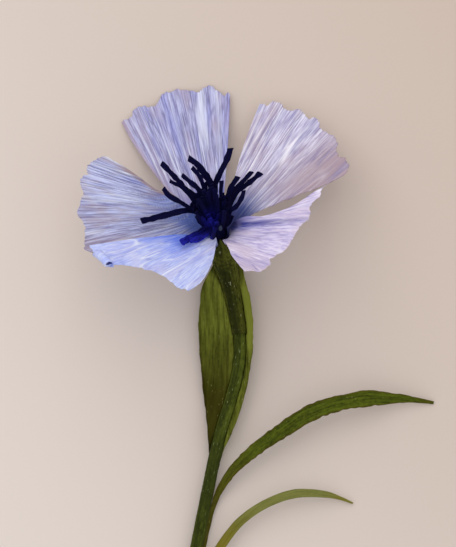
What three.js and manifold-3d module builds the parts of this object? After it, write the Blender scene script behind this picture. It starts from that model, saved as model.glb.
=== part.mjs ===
// Paper flower lying on a table: five torn crepe petals gathered round a rolled fringe
// of stamens, a wound calyx, a paper-wrapped wire stem and three leaves.
// Millimetres. Seen from above, X is to the right and Y runs from the cut end of the
// stem towards the petals. Z is up. Every place is measured from the neck, where the
// petals leave the calyx, and the whole flower is set down on the table at the end.

import * as THREE from 'three';
import { ParametricGeometry } from 'three/addons/geometries/ParametricGeometry.js';
import { mergeGeometries, mergeVertices } from 'three/addons/utils/BufferGeometryUtils.js';
import Module from 'manifold-3d';

const { degToRad, lerp, smoothstep } = THREE.MathUtils;
const UP = new THREE.Vector3(0, 0, 1);
const FULL_TURN = 2 * Math.PI;

// The head looks half up, and a little left of the stem's line
const HEAD_BEARING = degToRad(102);
const HEAD_ELEVATION = degToRad(45);
const AXIS = new THREE.Vector3(
  Math.cos(HEAD_ELEVATION) * Math.cos(HEAD_BEARING),
  Math.cos(HEAD_ELEVATION) * Math.sin(HEAD_BEARING),
  Math.sin(HEAD_ELEVATION),
);

// Stem: centre line, and the wire inside its paper wrap
const HEAD_TOP = 12;
const STRAIGHT_NECK = 8;
const STEM_BEND = [
  [3.2, -13, -9.1],
  [4.8, -21, -10.3],
  [5.9, -28.5, -10.8],
  [6, -35, -11.1],
  [5.1, -41, -11.3],
  [3.4, -47.5, -11.5],
  [0, -58.5, -11.8],
  [-3.3, -73.5, -12.2],
  [-6.6, -90, -12.7],
  [-10.2, -108, -13.2],
  [-13.2, -126, -13.6],
  [-15.3, -144, -13.9],
  [-16.4, -161, -14.1],
];
const WIRE_RADIUS = 0.6;
const WIRE_TIP = 2;
const WIRE_SHOWS = 1.2;
const WRAP_RADIUS = 1.9;
const WRAP_BORE = 1;
const WRAP_TOP = -10;
const STEM_STEP = 3.8;

// Calyx: outer and inner radius at heights along the stem, from the foot up to the rim
const CALYX_OUTSIDE = [[2.65, -32], [2.7, -25], [2.85, -18], [3.5, -10], [4.05, -4.5], [4.2, 0]];
const CALYX_INSIDE = [[3.75, 0], [3.6, -7.5], [2.4, -10.8], [2.3, -25], [2.3, -32]];
const CALYX_SIDES = 16;

// Fringe of stamens: a rolled core with a hole for the wire, and cut strips
const CORE_PROFILE = [
  [0, 2.6], [1.05, 2.6], [1.05, -8], [2.2, -8], [2.2, -1], [2.5, 4], [2.3, 7], [1.4, 8.6], [0, 9],
];
const CORE_SIDES = 12;
const STRIP_WIDTH = 1.3;
const STRIP_THICK = 0.5;
const STRIP_ROOT_HEIGHT = 5;
const STRIP_ROOT_RADIUS = 1.2;
// Below 1, a long strip climbs fastest next to the core
const STRIP_CLIMB = 0.75;
// Each long strip as seen from above, root side first, then the height of its tip
const STRIPS = [
  { route: [[-6.9, 12.6], [-10.2, 15], [-12.6, 17.7], [-17, 22.8]], tip: 12 },
  { route: [[-11.7, 15.3], [-15, 17.4]], tip: 15 },
  { route: [[-2.9, 17.1], [-4.9, 20.3], [-6.9, 22.8], [-9.5, 24.7]], tip: 14 },
  { route: [[-5.2, 16.8], [-6.3, 19.1], [-8.4, 21.7]], tip: 16.5 },
  { route: [[-6.3, 14.8], [-8.6, 17.1], [-11, 19.5]], tip: 16.8 },
  { route: [[-6.9, 8.2], [-9.2, 9.6], [-12.7, 11.7], [-15.5, 13.7], [-17, 15.4]], tip: 15 },
  { route: [[-4.5, 7.4], [-9.2, 8.8], [-12.7, 8.5], [-15.5, 7.6], [-19.8, 6.6], [-23.5, 5.6]], tip: 14 },
  { route: [[-4.1, 3], [-5.8, 2.5], [-8.6, 0.7], [-11.2, -1]], tip: 21 },
  { route: [[-3.6, 2.4], [-6, 0.3], [-9.2, -0.4]], tip: 22 },
  { route: [[-1.3, 4], [-2.4, 0.1]], tip: 20 },
  { route: [[-1.5, 16.5], [0, 20], [1.4, 22.5], [2.6, 25.4], [3.2, 27.7]], tip: 14 },
  { route: [[0.3, 14], [0.5, 17.7]], tip: 19 },
  { route: [[2.6, 14], [4, 16.8], [5.4, 18.8]], tip: 17 },
  { route: [[3.4, 14], [5.4, 16.2], [7.4, 18.2], [9.6, 20.3]], tip: 16.7 },
  { route: [[5.1, 14.5], [7.4, 16.2], [9.8, 17.7], [12, 19.8]], tip: 15.7 },
  { route: [[2.7, 8.6], [4.9, 9.9], [6.3, 12.2], [7.1, 14.8]], tip: 18 },
];
// Short strips stand up in the middle of the bundle
const SHORT_STRIPS = 8;
const SHORT_STRIP_LENGTH = 17;
const SHORT_STRIP_LEAN = 0.2;
const GOLDEN_ANGLE = degToRad(137.5);

// Petals, clockwise from the top. edge is the torn edge as seen from above. grain is the
// bearing of the paper's grain at its first and last corner. rise is how high the edge
// stands, as an angle seen from the neck, at its first corner, middle and last corner.
// lip is the slope of the grain at the edge, in the same three places. lift is how far
// the first and last thread follow the head's axis before they lean out by spread.
const PAPER = 0.5;
const CLAW_RADIUS = 2.85;
const CLAW_LENGTH = 7;
const CLAW_SWEEP = degToRad(64);
const FLUTE_DEPTH = 0.3;
const PETALS = [
  {
    name: 'petal_top',
    facing: -15,
    edge: [
      [-29.4, 35.1], [-28.8, 36], [-26.4, 37.2], [-26.1, 39], [-24.9, 40.2], [-19.2, 40.2],
      [-17.4, 43.8], [-16.2, 44.4], [-12.6, 45.3], [-7.2, 44.4], [-6, 45], [-3.3, 46.4],
      [-1.8, 45.6], [1.5, 42.9], [2.4, 44.4], [3, 43.8],
    ],
    grain: [116, 89],
    rise: [-18.2, -18, -18.4],
    lip: [-8, -8, -9],
    lift: [4, 4],
    spread: 3.6,
  },
  {
    name: 'petal_upper_right',
    facing: 57,
    edge: [
      [12, 41.1], [14.4, 40.2], [15.6, 41.7], [16.8, 41.7], [20.1, 39], [24.3, 39.3],
      [25.5, 37.2], [27.9, 36.9], [30, 35.4], [30, 33.9], [33.9, 31.5], [35.4, 28.8],
      [34.8, 27.3], [37.2, 24.6], [38.5, 21.9], [38.1, 20.4], [35.4, 18.9],
    ],
    grain: [67, 26],
    rise: [-16, -8, 11],
    lip: [-12, -18, -4],
    lift: [4, 9],
    spread: 4,
  },
  {
    name: 'petal_lower_right',
    facing: 129,
    edge: [
      [32.1, 16.5], [30, 14.4], [30, 12.9], [27.3, 10.8], [26.7, 6.3], [24.9, 5.1],
      [23.4, 3.3], [20.1, -2.1], [15, -5.7], [15, -7.2], [12, -9.6], [8.1, -9.3],
    ],
    grain: [40, -43],
    rise: [33, 52, 73],
    lip: [22, 46, 66],
    lift: [9, 5],
    spread: 2.2,
    crease: { at: 0.33, height: 1.3, fall: 0.09 },
  },
  {
    name: 'petal_lower_left',
    facing: 201,
    edge: [
      [-6, -13.2], [-9.6, -15.3], [-12.6, -14.4], [-15, -12.3], [-18, -10.2], [-21.6, -8.7],
      [-27, -7.7], [-32.7, -7.2], [-34.5, -7.8], [-36.3, -7.4], [-37.2, -5.4], [-39.3, -1.8],
    ],
    grain: [232, 190],
    rise: [69, 56, 34],
    lip: [60, 47, 22],
    lift: [5, 9],
    spread: 2.2,
  },
  {
    name: 'petal_left',
    facing: 273,
    edge: [
      [-36.9, -4.2], [-40, -3], [-40.5, -1.5], [-40.2, 3], [-42.3, 7.2], [-43, 8.6],
      [-41.2, 12.3], [-40.8, 13.5], [-41.8, 17], [-41, 19], [-39.6, 19.7], [-39.2, 23],
      [-36.9, 24.1], [-36, 24.9], [-34.2, 24.9],
    ],
    grain: [190, 151],
    rise: [22, 13, 5],
    lip: [10, 4, -4],
    lift: [5, 5],
    spread: 4,
  },
];
const PETAL_COLUMNS = 32;
const PETAL_ROWS = 9;
// The claw is the first row of a petal's mesh, and the other rows crowd towards the edge
const CLAW_SHARE = 1 / PETAL_ROWS;
const ROWS_CROWD = 1.4;
// Length of the straight pull at a thread's outer end, as a share of its reach
const THREAD_PULL = 0.4;
// Distance between the places compared to find which way a petal looks
const NORMAL_STEP = 0.02;

// Leaves: stations along each one, as place, width, sideways roll in degrees, and the
// height of its edges above its middle
const LEAF_PAPER = 0.5;
const LEAVES = {
  sheath_leaf: [
    { at: [-1.4, -65.5, -14.7], width: 3.4, roll: 0, cup: 0.9 },
    { at: [-1, -62, -14.6], width: 4.8, roll: 0, cup: 1.1 },
    { at: [0.4, -54, -14.5], width: 9.2, roll: 0, cup: 1.2 },
    { at: [1.3, -45, -14.5], width: 13, roll: 0, cup: 1.5 },
    { at: [1.8, -34, -14.6], width: 16, roll: 0, cup: 2 },
    { at: [1.7, -25, -14.6], width: 16.5, roll: 0, cup: 2.2 },
    { at: [1.6, -15, -14.1], width: 14.4, roll: 0, cup: 2.2 },
    { at: [2.4, -7.5, -13], width: 9, roll: 0, cup: 1.5 },
    { at: [2.9, 1, -11], width: 0.8, roll: 0, cup: 0.1 },
  ],
  upper_leaf: [
    { at: [-6.3, -98, -14.9], width: 1.5, roll: -40, cup: 0 },
    { at: [-4.8, -92, -14.5], width: 1.7, roll: -45, cup: 0 },
    { at: [-3.1, -84, -14.1], width: 1.8, roll: -50, cup: 0 },
    { at: [-1.5, -78.5, -13.6], width: 1.8, roll: -25, cup: 0 },
    { at: [-0.1, -75.2, -12.9], width: 2, roll: -5, cup: 0.1 },
    { at: [3.6, -69.6, -10.9], width: 2.9, roll: 8, cup: 0.3 },
    { at: [10.2, -63.4, -9.5], width: 3.8, roll: 12, cup: 0.5 },
    { at: [18.6, -57.4, -8.5], width: 4.7, roll: 12, cup: 0.5 },
    { at: [27, -52.1, -8], width: 5, roll: 10, cup: 0.5 },
    { at: [35, -49.3, -8.2], width: 4.6, roll: 5, cup: 0.5 },
    { at: [43.5, -47.7, -9.2], width: 5, roll: 0, cup: 0.4 },
    { at: [50.5, -47.6, -10.9], width: 3.6, roll: -10, cup: 0.2 },
    { at: [57.5, -47.9, -13.1], width: 2, roll: -20, cup: 0.1 },
    { at: [64.3, -48.9, -15.3], width: 0.8, roll: -25, cup: 0 },
  ],
  lower_leaf: [
    { at: [-8.8, -115, -13.6], width: 1.6, roll: -80, cup: 0 },
    { at: [-6.9, -106, -13.4], width: 1.8, roll: -60, cup: 0 },
    { at: [-3.4, -98, -12.8], width: 2.2, roll: -10, cup: 0.1 },
    { at: [0.4, -91.9, -12.1], width: 2.7, roll: 6, cup: 0.2 },
    { at: [6, -84.8, -11.4], width: 2.6, roll: 10, cup: 0.3 },
    { at: [13.5, -79.5, -10.9], width: 2.6, roll: 12, cup: 0.3 },
    { at: [22, -76.4, -11], width: 2.7, roll: 10, cup: 0.3 },
    { at: [31, -76.4, -12.6], width: 2.4, roll: 4, cup: 0.2 },
    { at: [36, -77.6, -14.1], width: 1.5, roll: 2, cup: 0.1 },
    { at: [40, -79.2, -15.2], width: 0.7, roll: 0, cup: 0 },
  ],
};
const LEAF_COLUMNS = 6;
const LEAF_ROWS = 26;

// Colours of the paper and the wire
const PALE_LAVENDER = 0xb9b8e2;
const NAVY = 0x0b0c46;
const DARK_OLIVE = 0x33360f;
const STEM_GREEN = 0x4a4f18;
const LEAF_GREEN = 0x555c20;
const PALE_LEAF_GREEN = 0x6e6f36;
const STEEL = 0x8a8a86;

function paperOf(color) {
  return new THREE.MeshStandardMaterial({ color, roughness: 0.85, metalness: 0 });
}

// A closed mesh that keeps only its places, with corners that coincide joined
function welded(geometry) {
  geometry.deleteAttribute('normal');
  geometry.deleteAttribute('uv');
  return mergeVertices(geometry, 1e-3);
}

// Stem

const stemLine = new THREE.CatmullRomCurve3([
  AXIS.clone().multiplyScalar(HEAD_TOP),
  new THREE.Vector3(),
  AXIS.clone().multiplyScalar(-STRAIGHT_NECK),
  ...STEM_BEND.map((place) => new THREE.Vector3(...place)),
]);
stemLine.arcLengthDivisions = 1000;
const STEM_END = HEAD_TOP - stemLine.getLength();

// Where the stem is at a height above the neck, measured along it. Its front looks up
// and its back looks down at the table.
function stemFrame(height) {
  const along = (HEAD_TOP - height) / stemLine.getLength();
  const center = stemLine.getPointAt(along);
  const upward = stemLine.getTangentAt(along).negate();
  const right = new THREE.Vector3().crossVectors(upward, UP).normalize();
  const front = new THREE.Vector3().crossVectors(right, upward);
  return { center, upward, right, front };
}

class StemStretch extends THREE.Curve {
  constructor(from, to) {
    super();
    this.from = from;
    this.to = to;
  }

  getPoint(t, target = new THREE.Vector3()) {
    return target.copy(stemFrame(lerp(this.from, this.to, t)).center);
  }
}

function round(radius, sides) {
  return new THREE.Shape().absarc(0, 0, radius, 0, FULL_TURN, false).getPoints(sides / 2).slice(0, -1);
}

function extrudedAlongStem(shape, from, to) {
  const steps = Math.ceil(Math.abs(to - from) / STEM_STEP);
  const extrudePath = new StemStretch(from, to);
  return new THREE.ExtrudeGeometry(shape, { steps, extrudePath, curveSegments: 1 });
}

function stemWire() {
  return extrudedAlongStem(new THREE.Shape(round(WIRE_RADIUS, 8)), WIRE_TIP, STEM_END);
}

function stemWrap() {
  const ring = new THREE.Shape(round(WRAP_RADIUS, 10));
  ring.holes.push(new THREE.Path(round(WRAP_BORE, 8)));
  return extrudedAlongStem(ring, WRAP_TOP, STEM_END + WIRE_SHOWS);
}

// Turns a profile of [radius, height] round the stem's own bent centre line. Each of its
// stretches is cut into steps short enough to follow the bend.
function turnedOnStem(profile, sides) {
  const corners = profile.map(([radius, height]) => new THREE.Vector2(radius, height));
  const points = [corners[0]];
  for (let i = 1; i < corners.length; i += 1) {
    const steps = Math.ceil(corners[i].distanceTo(corners[i - 1]) / STEM_STEP);
    points.push(...new THREE.LineCurve(corners[i - 1], corners[i]).getPoints(steps).slice(1));
  }
  const geometry = new THREE.LatheGeometry(points, sides);
  const places = geometry.attributes.position;
  for (let i = 0; i < places.count; i += 1) {
    const { center, right, front } = stemFrame(places.getY(i));
    center.addScaledVector(right, places.getX(i)).addScaledVector(front, places.getZ(i));
    places.setXYZ(i, center.x, center.y, center.z);
  }
  return welded(geometry);
}

function calyx() {
  return turnedOnStem([...CALYX_OUTSIDE, ...CALYX_INSIDE, CALYX_OUTSIDE[0]], CALYX_SIDES);
}

// Fringe of stamens

const solids = await Module();
solids.setup();

function toManifold(geometry) {
  const mesh = welded(geometry);
  return new solids.Manifold(new solids.Mesh({
    numProp: 3,
    vertProperties: new Float32Array(mesh.attributes.position.array),
    triVerts: new Uint32Array(mesh.index.array),
  }));
}

function fromManifold(manifold) {
  const { vertProperties, triVerts } = manifold.getMesh();
  const geometry = new THREE.BufferGeometry();
  geometry.setAttribute('position', new THREE.BufferAttribute(vertProperties, 3));
  geometry.setIndex(new THREE.BufferAttribute(triVerts, 1));
  return geometry;
}

function strip(points, steps) {
  const w = STRIP_WIDTH / 2;
  const t = STRIP_THICK / 2;
  const section = new THREE.Shape([
    new THREE.Vector2(-t, -w), new THREE.Vector2(t, -w),
    new THREE.Vector2(t, w), new THREE.Vector2(-t, w),
  ]);
  const extrudePath = new THREE.CatmullRomCurve3(points);
  return toManifold(new THREE.ExtrudeGeometry(section, { steps, extrudePath, curveSegments: 1 }));
}

function stripRoot(bearing) {
  const { center, right, front } = stemFrame(STRIP_ROOT_HEIGHT);
  return center
    .addScaledVector(right, STRIP_ROOT_RADIUS * Math.cos(bearing))
    .addScaledVector(front, STRIP_ROOT_RADIUS * Math.sin(bearing));
}

// A strip's height grows fast where it stands up from the core, then slowly to its tip
function longStrip({ route, tip }) {
  const [tipX, tipY] = route.at(-1);
  const root = stripRoot(Math.atan2(tip * AXIS.y - tipY * AXIS.z, tipX));
  const reach = Math.hypot(tipX - root.x, tipY - root.y);
  const places = route.map(([x, y]) => {
    const share = Math.hypot(x - root.x, y - root.y) / reach;
    return new THREE.Vector3(x, y, lerp(root.z, tip, share ** STRIP_CLIMB));
  });
  return strip([root, ...places], route.length + 3);
}

function shortStrip(_, index) {
  const bearing = index * GOLDEN_ANGLE;
  const lean = SHORT_STRIP_LEAN * Math.sqrt(index);
  const root = stripRoot(bearing);
  const { right, front } = stemFrame(0);
  const direction = AXIS.clone()
    .addScaledVector(right, lean * Math.cos(bearing))
    .addScaledVector(front, lean * Math.sin(bearing));
  const middle = root.clone().addScaledVector(AXIS, SHORT_STRIP_LENGTH / 2);
  const tip = root.clone().addScaledVector(direction, SHORT_STRIP_LENGTH);
  return strip([root, middle, tip], 3);
}

function stamenFringe() {
  const core = toManifold(turnedOnStem(CORE_PROFILE, CORE_SIDES));
  const strips = [...STRIPS.map(longStrip), ...Array.from({ length: SHORT_STRIPS }, shortStrip)];
  return fromManifold(strips.reduce((whole, piece) => whole.add(piece), core));
}

// Thin sheets

// A closed sheet of paper. face(across, along) gives the place of its middle and the
// way it looks, and both run from 0 to 1.
function paperSheet(face, thickness, columns, rows) {
  const skin = (across, along, side, target) => {
    const { place, normal } = face(across, along);
    return target.copy(place).addScaledVector(normal, side * thickness / 2);
  };
  const around = 2 * columns + 2;
  const walls = new ParametricGeometry((u, v, target) => {
    const step = Math.round(u * around) % around;
    const onFront = step <= columns;
    const across = onFront ? step / columns : (around - 1 - step) / columns;
    skin(across, v, onFront ? 1 : -1, target);
  }, around, rows);
  const start = new ParametricGeometry((u, v, target) => skin(u, 0, v < 0.5 ? -1 : 1, target), columns, 1);
  const end = new ParametricGeometry((u, v, target) => skin(u, 1, v < 0.5 ? 1 : -1, target), columns, 1);
  return welded(mergeGeometries([walls, start, end]));
}

// Value at a share of the way through three stations: first, middle, last
function through([first, middle, last], share) {
  return first * (1 - share) * (1 - 2 * share) + middle * 4 * share * (1 - share) + last * share * (2 * share - 1);
}

// Direction from a bearing seen from above and an elevation, both in degrees
function heading(bearing, elevation) {
  const turn = degToRad(bearing);
  const climb = degToRad(elevation);
  return new THREE.Vector3(Math.cos(climb) * Math.cos(turn), Math.cos(climb) * Math.sin(turn), Math.sin(climb));
}

function pointOnEdge(edge, share) {
  const lengths = [0];
  for (let i = 1; i < edge.length; i += 1) {
    const [x, y] = edge[i];
    lengths.push(lengths[i - 1] + Math.hypot(x - edge[i - 1][0], y - edge[i - 1][1]));
  }
  const wanted = share * lengths.at(-1);
  const next = Math.max(1, lengths.findIndex((length) => length >= wanted - 1e-6));
  const part = (wanted - lengths[next - 1]) / (lengths[next] - lengths[next - 1]);
  return [0, 1].map((axis) => lerp(edge[next - 1][axis], edge[next][axis], part));
}

// One thread of the grain: straight up the claw, then a curve out to the torn edge
function grainLine(petal, across) {
  const angle = degToRad(petal.facing) + (across - 0.5) * CLAW_SWEEP;
  const foot = stemFrame(0);
  const outward = foot.front.clone().multiplyScalar(-Math.cos(angle))
    .addScaledVector(foot.right, Math.sin(angle));
  const clawFoot = stemFrame(-CLAW_LENGTH).center.addScaledVector(outward, CLAW_RADIUS);
  const clawTop = foot.center.addScaledVector(outward, CLAW_RADIUS);
  const [x, y] = pointOnEdge(petal.edge, across);
  const tip = new THREE.Vector3(x, y, Math.hypot(x, y) * Math.tan(degToRad(through(petal.rise, across))));
  const slope = heading(lerp(...petal.grain, across), through(petal.lip, across));
  const curve = new THREE.CubicBezierCurve3(
    clawTop,
    clawTop.clone().addScaledVector(AXIS, lerp(...petal.lift, across))
      .addScaledVector(outward, petal.spread),
    tip.clone().addScaledVector(slope, -THREAD_PULL * tip.length()),
    tip,
  );
  return { clawFoot, clawTop, curve };
}

function petalPlace(petal, across, along) {
  const { clawFoot, clawTop, curve } = grainLine(petal, across);
  if (along < CLAW_SHARE) {
    return clawFoot.lerp(clawTop, along / CLAW_SHARE);
  }
  const left = (1 - along) / (1 - CLAW_SHARE);
  return curve.getPoint(1 - left ** ROWS_CROWD);
}

function petalNormal(petal, across, along) {
  const left = petalPlace(petal, Math.max(across - NORMAL_STEP, 0), along);
  const right = petalPlace(petal, Math.min(across + NORMAL_STEP, 1), along);
  const lower = petalPlace(petal, across, Math.max(along - NORMAL_STEP, 0));
  const upper = petalPlace(petal, across, Math.min(along + NORMAL_STEP, 1));
  return right.sub(left).cross(upper.sub(lower)).normalize();
}

// A crease lifts the paper up to its ridge, and the paper drops again just beyond it
function creaseLift({ at, height, fall }, across) {
  const before = (across / at) ** 2;
  const beyond = 1 - smoothstep(across, at, at + fall);
  return height * (across < at ? before : beyond);
}

function petal(shape) {
  const face = (across, along) => {
    const place = petalPlace(shape, across, along);
    const normal = petalNormal(shape, across, along);
    const flute = FLUTE_DEPTH * Math.cos(Math.PI * PETAL_COLUMNS * across);
    const crease = shape.crease ? creaseLift(shape.crease, across) : 0;
    place.addScaledVector(normal, (flute + crease) * smoothstep(along, CLAW_SHARE, 1));
    return { place, normal };
  };
  return paperSheet(face, PAPER, PETAL_COLUMNS, PETAL_ROWS);
}

// Leaves

function leaf(stations) {
  const line = new THREE.CatmullRomCurve3(stations.map(({ at }) => new THREE.Vector3(...at)));
  const last = stations.length - 1;
  const value = (key, share) => {
    const before = Math.min(Math.floor(share * last), last - 1);
    return lerp(stations[before][key], stations[before + 1][key], share * last - before);
  };
  const face = (across, along) => {
    const side = 1 - 2 * across;
    const forward = line.getTangent(along);
    const level = new THREE.Vector3().crossVectors(forward, UP).normalize();
    const widthways = level.applyAxisAngle(forward, degToRad(value('roll', along)));
    const normal = new THREE.Vector3().crossVectors(widthways, forward);
    const place = line.getPoint(along)
      .addScaledVector(widthways, -side * value('width', along) / 2)
      .addScaledVector(normal, value('cup', along) * side ** 2);
    return { place, normal };
  };
  return paperSheet(face, LEAF_PAPER, LEAF_COLUMNS, LEAF_ROWS);
}

// Assembly

const flower = new THREE.Group();

function addPiece(name, geometry, material) {
  const mesh = new THREE.Mesh(geometry, material);
  mesh.name = name;
  flower.add(mesh);
}

const wire = new THREE.MeshStandardMaterial({ color: STEEL, roughness: 0.4, metalness: 0.9 });
addPiece('stem_wire', stemWire(), wire);
addPiece('stem_wrap', stemWrap(), paperOf(STEM_GREEN));
addPiece('calyx', calyx(), paperOf(DARK_OLIVE));
addPiece('stamen_fringe', stamenFringe(), paperOf(NAVY));
for (const shape of PETALS) {
  addPiece(shape.name, petal(shape), paperOf(PALE_LAVENDER));
}
addPiece('sheath_leaf', leaf(LEAVES.sheath_leaf), paperOf(LEAF_GREEN));
addPiece('upper_leaf', leaf(LEAVES.upper_leaf), paperOf(LEAF_GREEN));
addPiece('lower_leaf', leaf(LEAVES.lower_leaf), paperOf(PALE_LEAF_GREEN));

// The flower lies on the table, with the origin on the table under its middle
const extent = new THREE.Box3().setFromObject(flower);
const middle = extent.getCenter(new THREE.Vector3());
flower.position.set(-middle.x, -middle.y, -extent.min.z);

export default flower;
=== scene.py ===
# %% [markdown]
# # A paper flower
#
# This flower is made by hand from crepe paper. Five torn petals are gathered round a
# rolled fringe of navy strips, a dark strip of paper is wound and glued round their feet
# to make the calyx, and the wire stem is wrapped in olive paper. Three leaves are stuck
# on. The flower can't stand, so it lies on a table and the camera looks straight down.
#
# The solid model of the flower has its places and sizes already. This script takes that
# model as its frame and makes each piece again as fine paper: fluted, torn, wound and
# streaked.

import math

import bpy
import numpy as np
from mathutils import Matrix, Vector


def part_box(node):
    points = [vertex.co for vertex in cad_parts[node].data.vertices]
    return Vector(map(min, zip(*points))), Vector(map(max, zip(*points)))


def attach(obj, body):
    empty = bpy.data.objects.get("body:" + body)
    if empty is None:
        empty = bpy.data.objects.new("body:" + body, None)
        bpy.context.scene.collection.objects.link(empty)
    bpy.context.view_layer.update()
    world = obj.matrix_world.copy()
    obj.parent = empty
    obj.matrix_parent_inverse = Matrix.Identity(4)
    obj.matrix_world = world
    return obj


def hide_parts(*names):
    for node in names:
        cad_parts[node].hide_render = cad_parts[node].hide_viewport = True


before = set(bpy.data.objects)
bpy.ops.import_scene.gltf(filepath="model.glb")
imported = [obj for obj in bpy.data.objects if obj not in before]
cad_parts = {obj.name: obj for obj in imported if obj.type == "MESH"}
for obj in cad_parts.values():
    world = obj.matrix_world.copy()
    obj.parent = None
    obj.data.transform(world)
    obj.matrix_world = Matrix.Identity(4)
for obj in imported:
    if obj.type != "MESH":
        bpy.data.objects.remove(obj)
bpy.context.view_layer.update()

# %% [markdown]
# ## Places
#
# All shapes below are worked out in millimetres, measured from the neck, where the
# petals leave the calyx. X is to the right of the picture, Y is up in the picture, and Z
# points at the camera. The last step of every piece moves it to its place on the table
# and turns millimetres into metres.

# %% Where the neck is, and which way the head looks
NECK = np.array([-10.777, 57.391, 15.941])
MM = 0.001
HEAD_BEARING = math.radians(102)
HEAD_ELEVATION = math.radians(45)
UP = np.array([0.0, 0.0, 1.0])
AXIS = np.array([
    math.cos(HEAD_ELEVATION) * math.cos(HEAD_BEARING),
    math.cos(HEAD_ELEVATION) * math.sin(HEAD_BEARING),
    math.sin(HEAD_ELEVATION),
])
low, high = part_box("petal_top")
print("petal_top is", np.round((np.array(high) - np.array(low)) / MM, 1), "mm long, wide and high")

# %% [markdown]
# ## Small tools
#
# Everything is computed as whole arrays. These few functions are used by every piece:
# unit vectors, smooth steps and bells, smooth random numbers, and a smooth line through
# points.


# %% Vectors and steps
def unit(v):
    """Each vector divided by its own length."""
    return v / np.maximum(np.linalg.norm(v, axis=-1, keepdims=True), 1e-12)


def step(x, start, end):
    """0 before start, 1 after end, and 3t^2 - 2t^3 in between."""
    t = np.clip((x - start) / (end - start), 0, 1)
    return t * t * (3 - 2 * t)


def fade(x, start, end):
    """1 before start, 0 after end, and 1 minus the smooth step in between."""
    return 1 - step(x, start, end)


def bell(x, middle, width):
    """1 at the middle, and on both sides of it e to the power of -(distance / width)^2."""
    return np.exp(-(((x - middle) / width) ** 2))


def blend(a, b, share):
    """a at share 0, b at share 1, and the mixture in between."""
    return a + (b - a) * share


# %% Smooth random numbers
NOISE_SIZE = 256


def noise(x, y, seed):
    """Random values between -1 and 1 at whole x and y, blended smoothly in between. They
    come again after NOISE_SIZE steps."""
    n = NOISE_SIZE
    table = np.random.default_rng(seed).uniform(-1, 1, (n, n))
    x, y = np.broadcast_arrays(np.asarray(x, float), np.asarray(y, float))
    i, j = np.floor(x).astype(int), np.floor(y).astype(int)
    fx, fy = step(x - i, 0, 1), step(y - j, 0, 1)
    i0, i1, j0, j1 = i % n, (i + 1) % n, j % n, (j + 1) % n
    nearer = blend(table[i0, j0], table[i1, j0], fx)
    further = blend(table[i0, j1], table[i1, j1], fx)
    return blend(nearer, further, fy)


# %% Smooth line through points
def smooth_line(points, per_span):
    """A centripetal Catmull-Rom line: between two points a cubic whose slope at each
    point comes from its neighbours, weighted by the square root of their distances."""
    p = np.asarray(points, float)
    p = np.vstack([2 * p[0] - p[1], p, 2 * p[-1] - p[-2]])
    gap = np.maximum(np.linalg.norm(np.diff(p, axis=0), axis=1) ** 0.5, 1e-4)[:, None]
    a, b, c, d = p[:-3], p[1:-2], p[2:-1], p[3:]
    ga, gb, gc = gap[:-2], gap[1:-1], gap[2:]
    out = ((b - a) / ga - (c - a) / (ga + gb) + (c - b) / gb) * gb
    into = ((c - b) / gb - (d - b) / (gb + gc) + (d - c) / gc) * gb
    t = np.linspace(0, 1, per_span, endpoint=False)[None, :, None]
    b, c, out, into = b[:, None], c[:, None], out[:, None], into[:, None]
    line = b + out * t + (3 * (c - b) - 2 * out - into) * t**2
    line = line + (2 * (b - c) + out + into) * t**3
    return np.vstack([line.reshape(-1, p.shape[1]), p[-2]])


def lengths_along(line):
    """Distance from the line's start to each of its points."""
    return np.r_[0, np.cumsum(np.linalg.norm(np.diff(line, axis=0), axis=1))]


def at_lengths(line, wanted):
    """Points of the line at the wanted distances from its start."""
    along = lengths_along(line)
    return np.stack([np.interp(wanted, along, line[:, k]) for k in range(3)], axis=-1)


# %% [markdown]
# ## From arrays to pieces
#
# Blender takes a mesh as flat lists of numbers. `make_piece` writes them in one go,
# turns the faces outwards if they came out inside out, and hides the piece of the solid
# model that the new one stands for.


# %% Make a mesh piece
def volume_of(places, fans):
    """Signed volume: the sum over all triangles of their corners' triple product / 6."""
    total = 0.0
    for faces in fans:
        for k in range(1, faces.shape[1] - 1):
            a, b, c = places[faces[:, 0]], places[faces[:, k]], places[faces[:, k + 1]]
            total += np.einsum("ij,ij->i", a, np.cross(b, c)).sum() / 6
    return total


def make_piece(name, shapes, material, node):
    """A closed mesh from one or more shapes. A shape is its places in mm, its faces as
    arrays of corner numbers, and its marks: numbers kept at each place, which the
    material reads."""
    corners, sizes, marks, everywhere, count = [], [], {}, [], 0
    for places, fans, own in shapes:
        turn = -1 if volume_of(places, fans) < 0 else 1
        for faces in fans:
            sizes.append(np.full(len(faces), faces.shape[1]))
            corners.append((faces[:, ::turn] + count).ravel())
        for key, values in own.items():
            marks.setdefault(key, []).append(values)
        everywhere.append(places)
        count += len(places)
    everywhere, corners, sizes = np.vstack(everywhere), np.concatenate(corners), np.concatenate(sizes)
    mesh = bpy.data.meshes.new(name)
    mesh.vertices.add(count)
    mesh.vertices.foreach_set("co", ((everywhere + NECK) * MM).astype(np.float32).ravel())
    mesh.loops.add(len(corners))
    mesh.loops.foreach_set("vertex_index", corners.astype(np.int32))
    mesh.polygons.add(len(sizes))
    mesh.polygons.foreach_set("loop_start", np.r_[0, np.cumsum(sizes)[:-1]].astype(np.int32))
    mesh.update(calc_edges=True)
    mesh.validate()
    mesh.shade_smooth()
    for key, parts in marks.items():
        values = np.concatenate(parts)
        kind, field = ("FLOAT_VECTOR", "vector") if values.ndim == 2 else ("FLOAT", "value")
        mark = mesh.attributes.new(key, kind, "POINT")
        mark.data.foreach_set(field, values.astype(np.float32).ravel())
    mesh.materials.append(material)
    piece = bpy.data.objects.new(name, mesh)
    bpy.context.scene.collection.objects.link(piece)
    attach(piece, "root")
    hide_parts(node)
    print(f"{name}: {count} places, {(sizes - 2).sum()} triangles")


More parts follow.
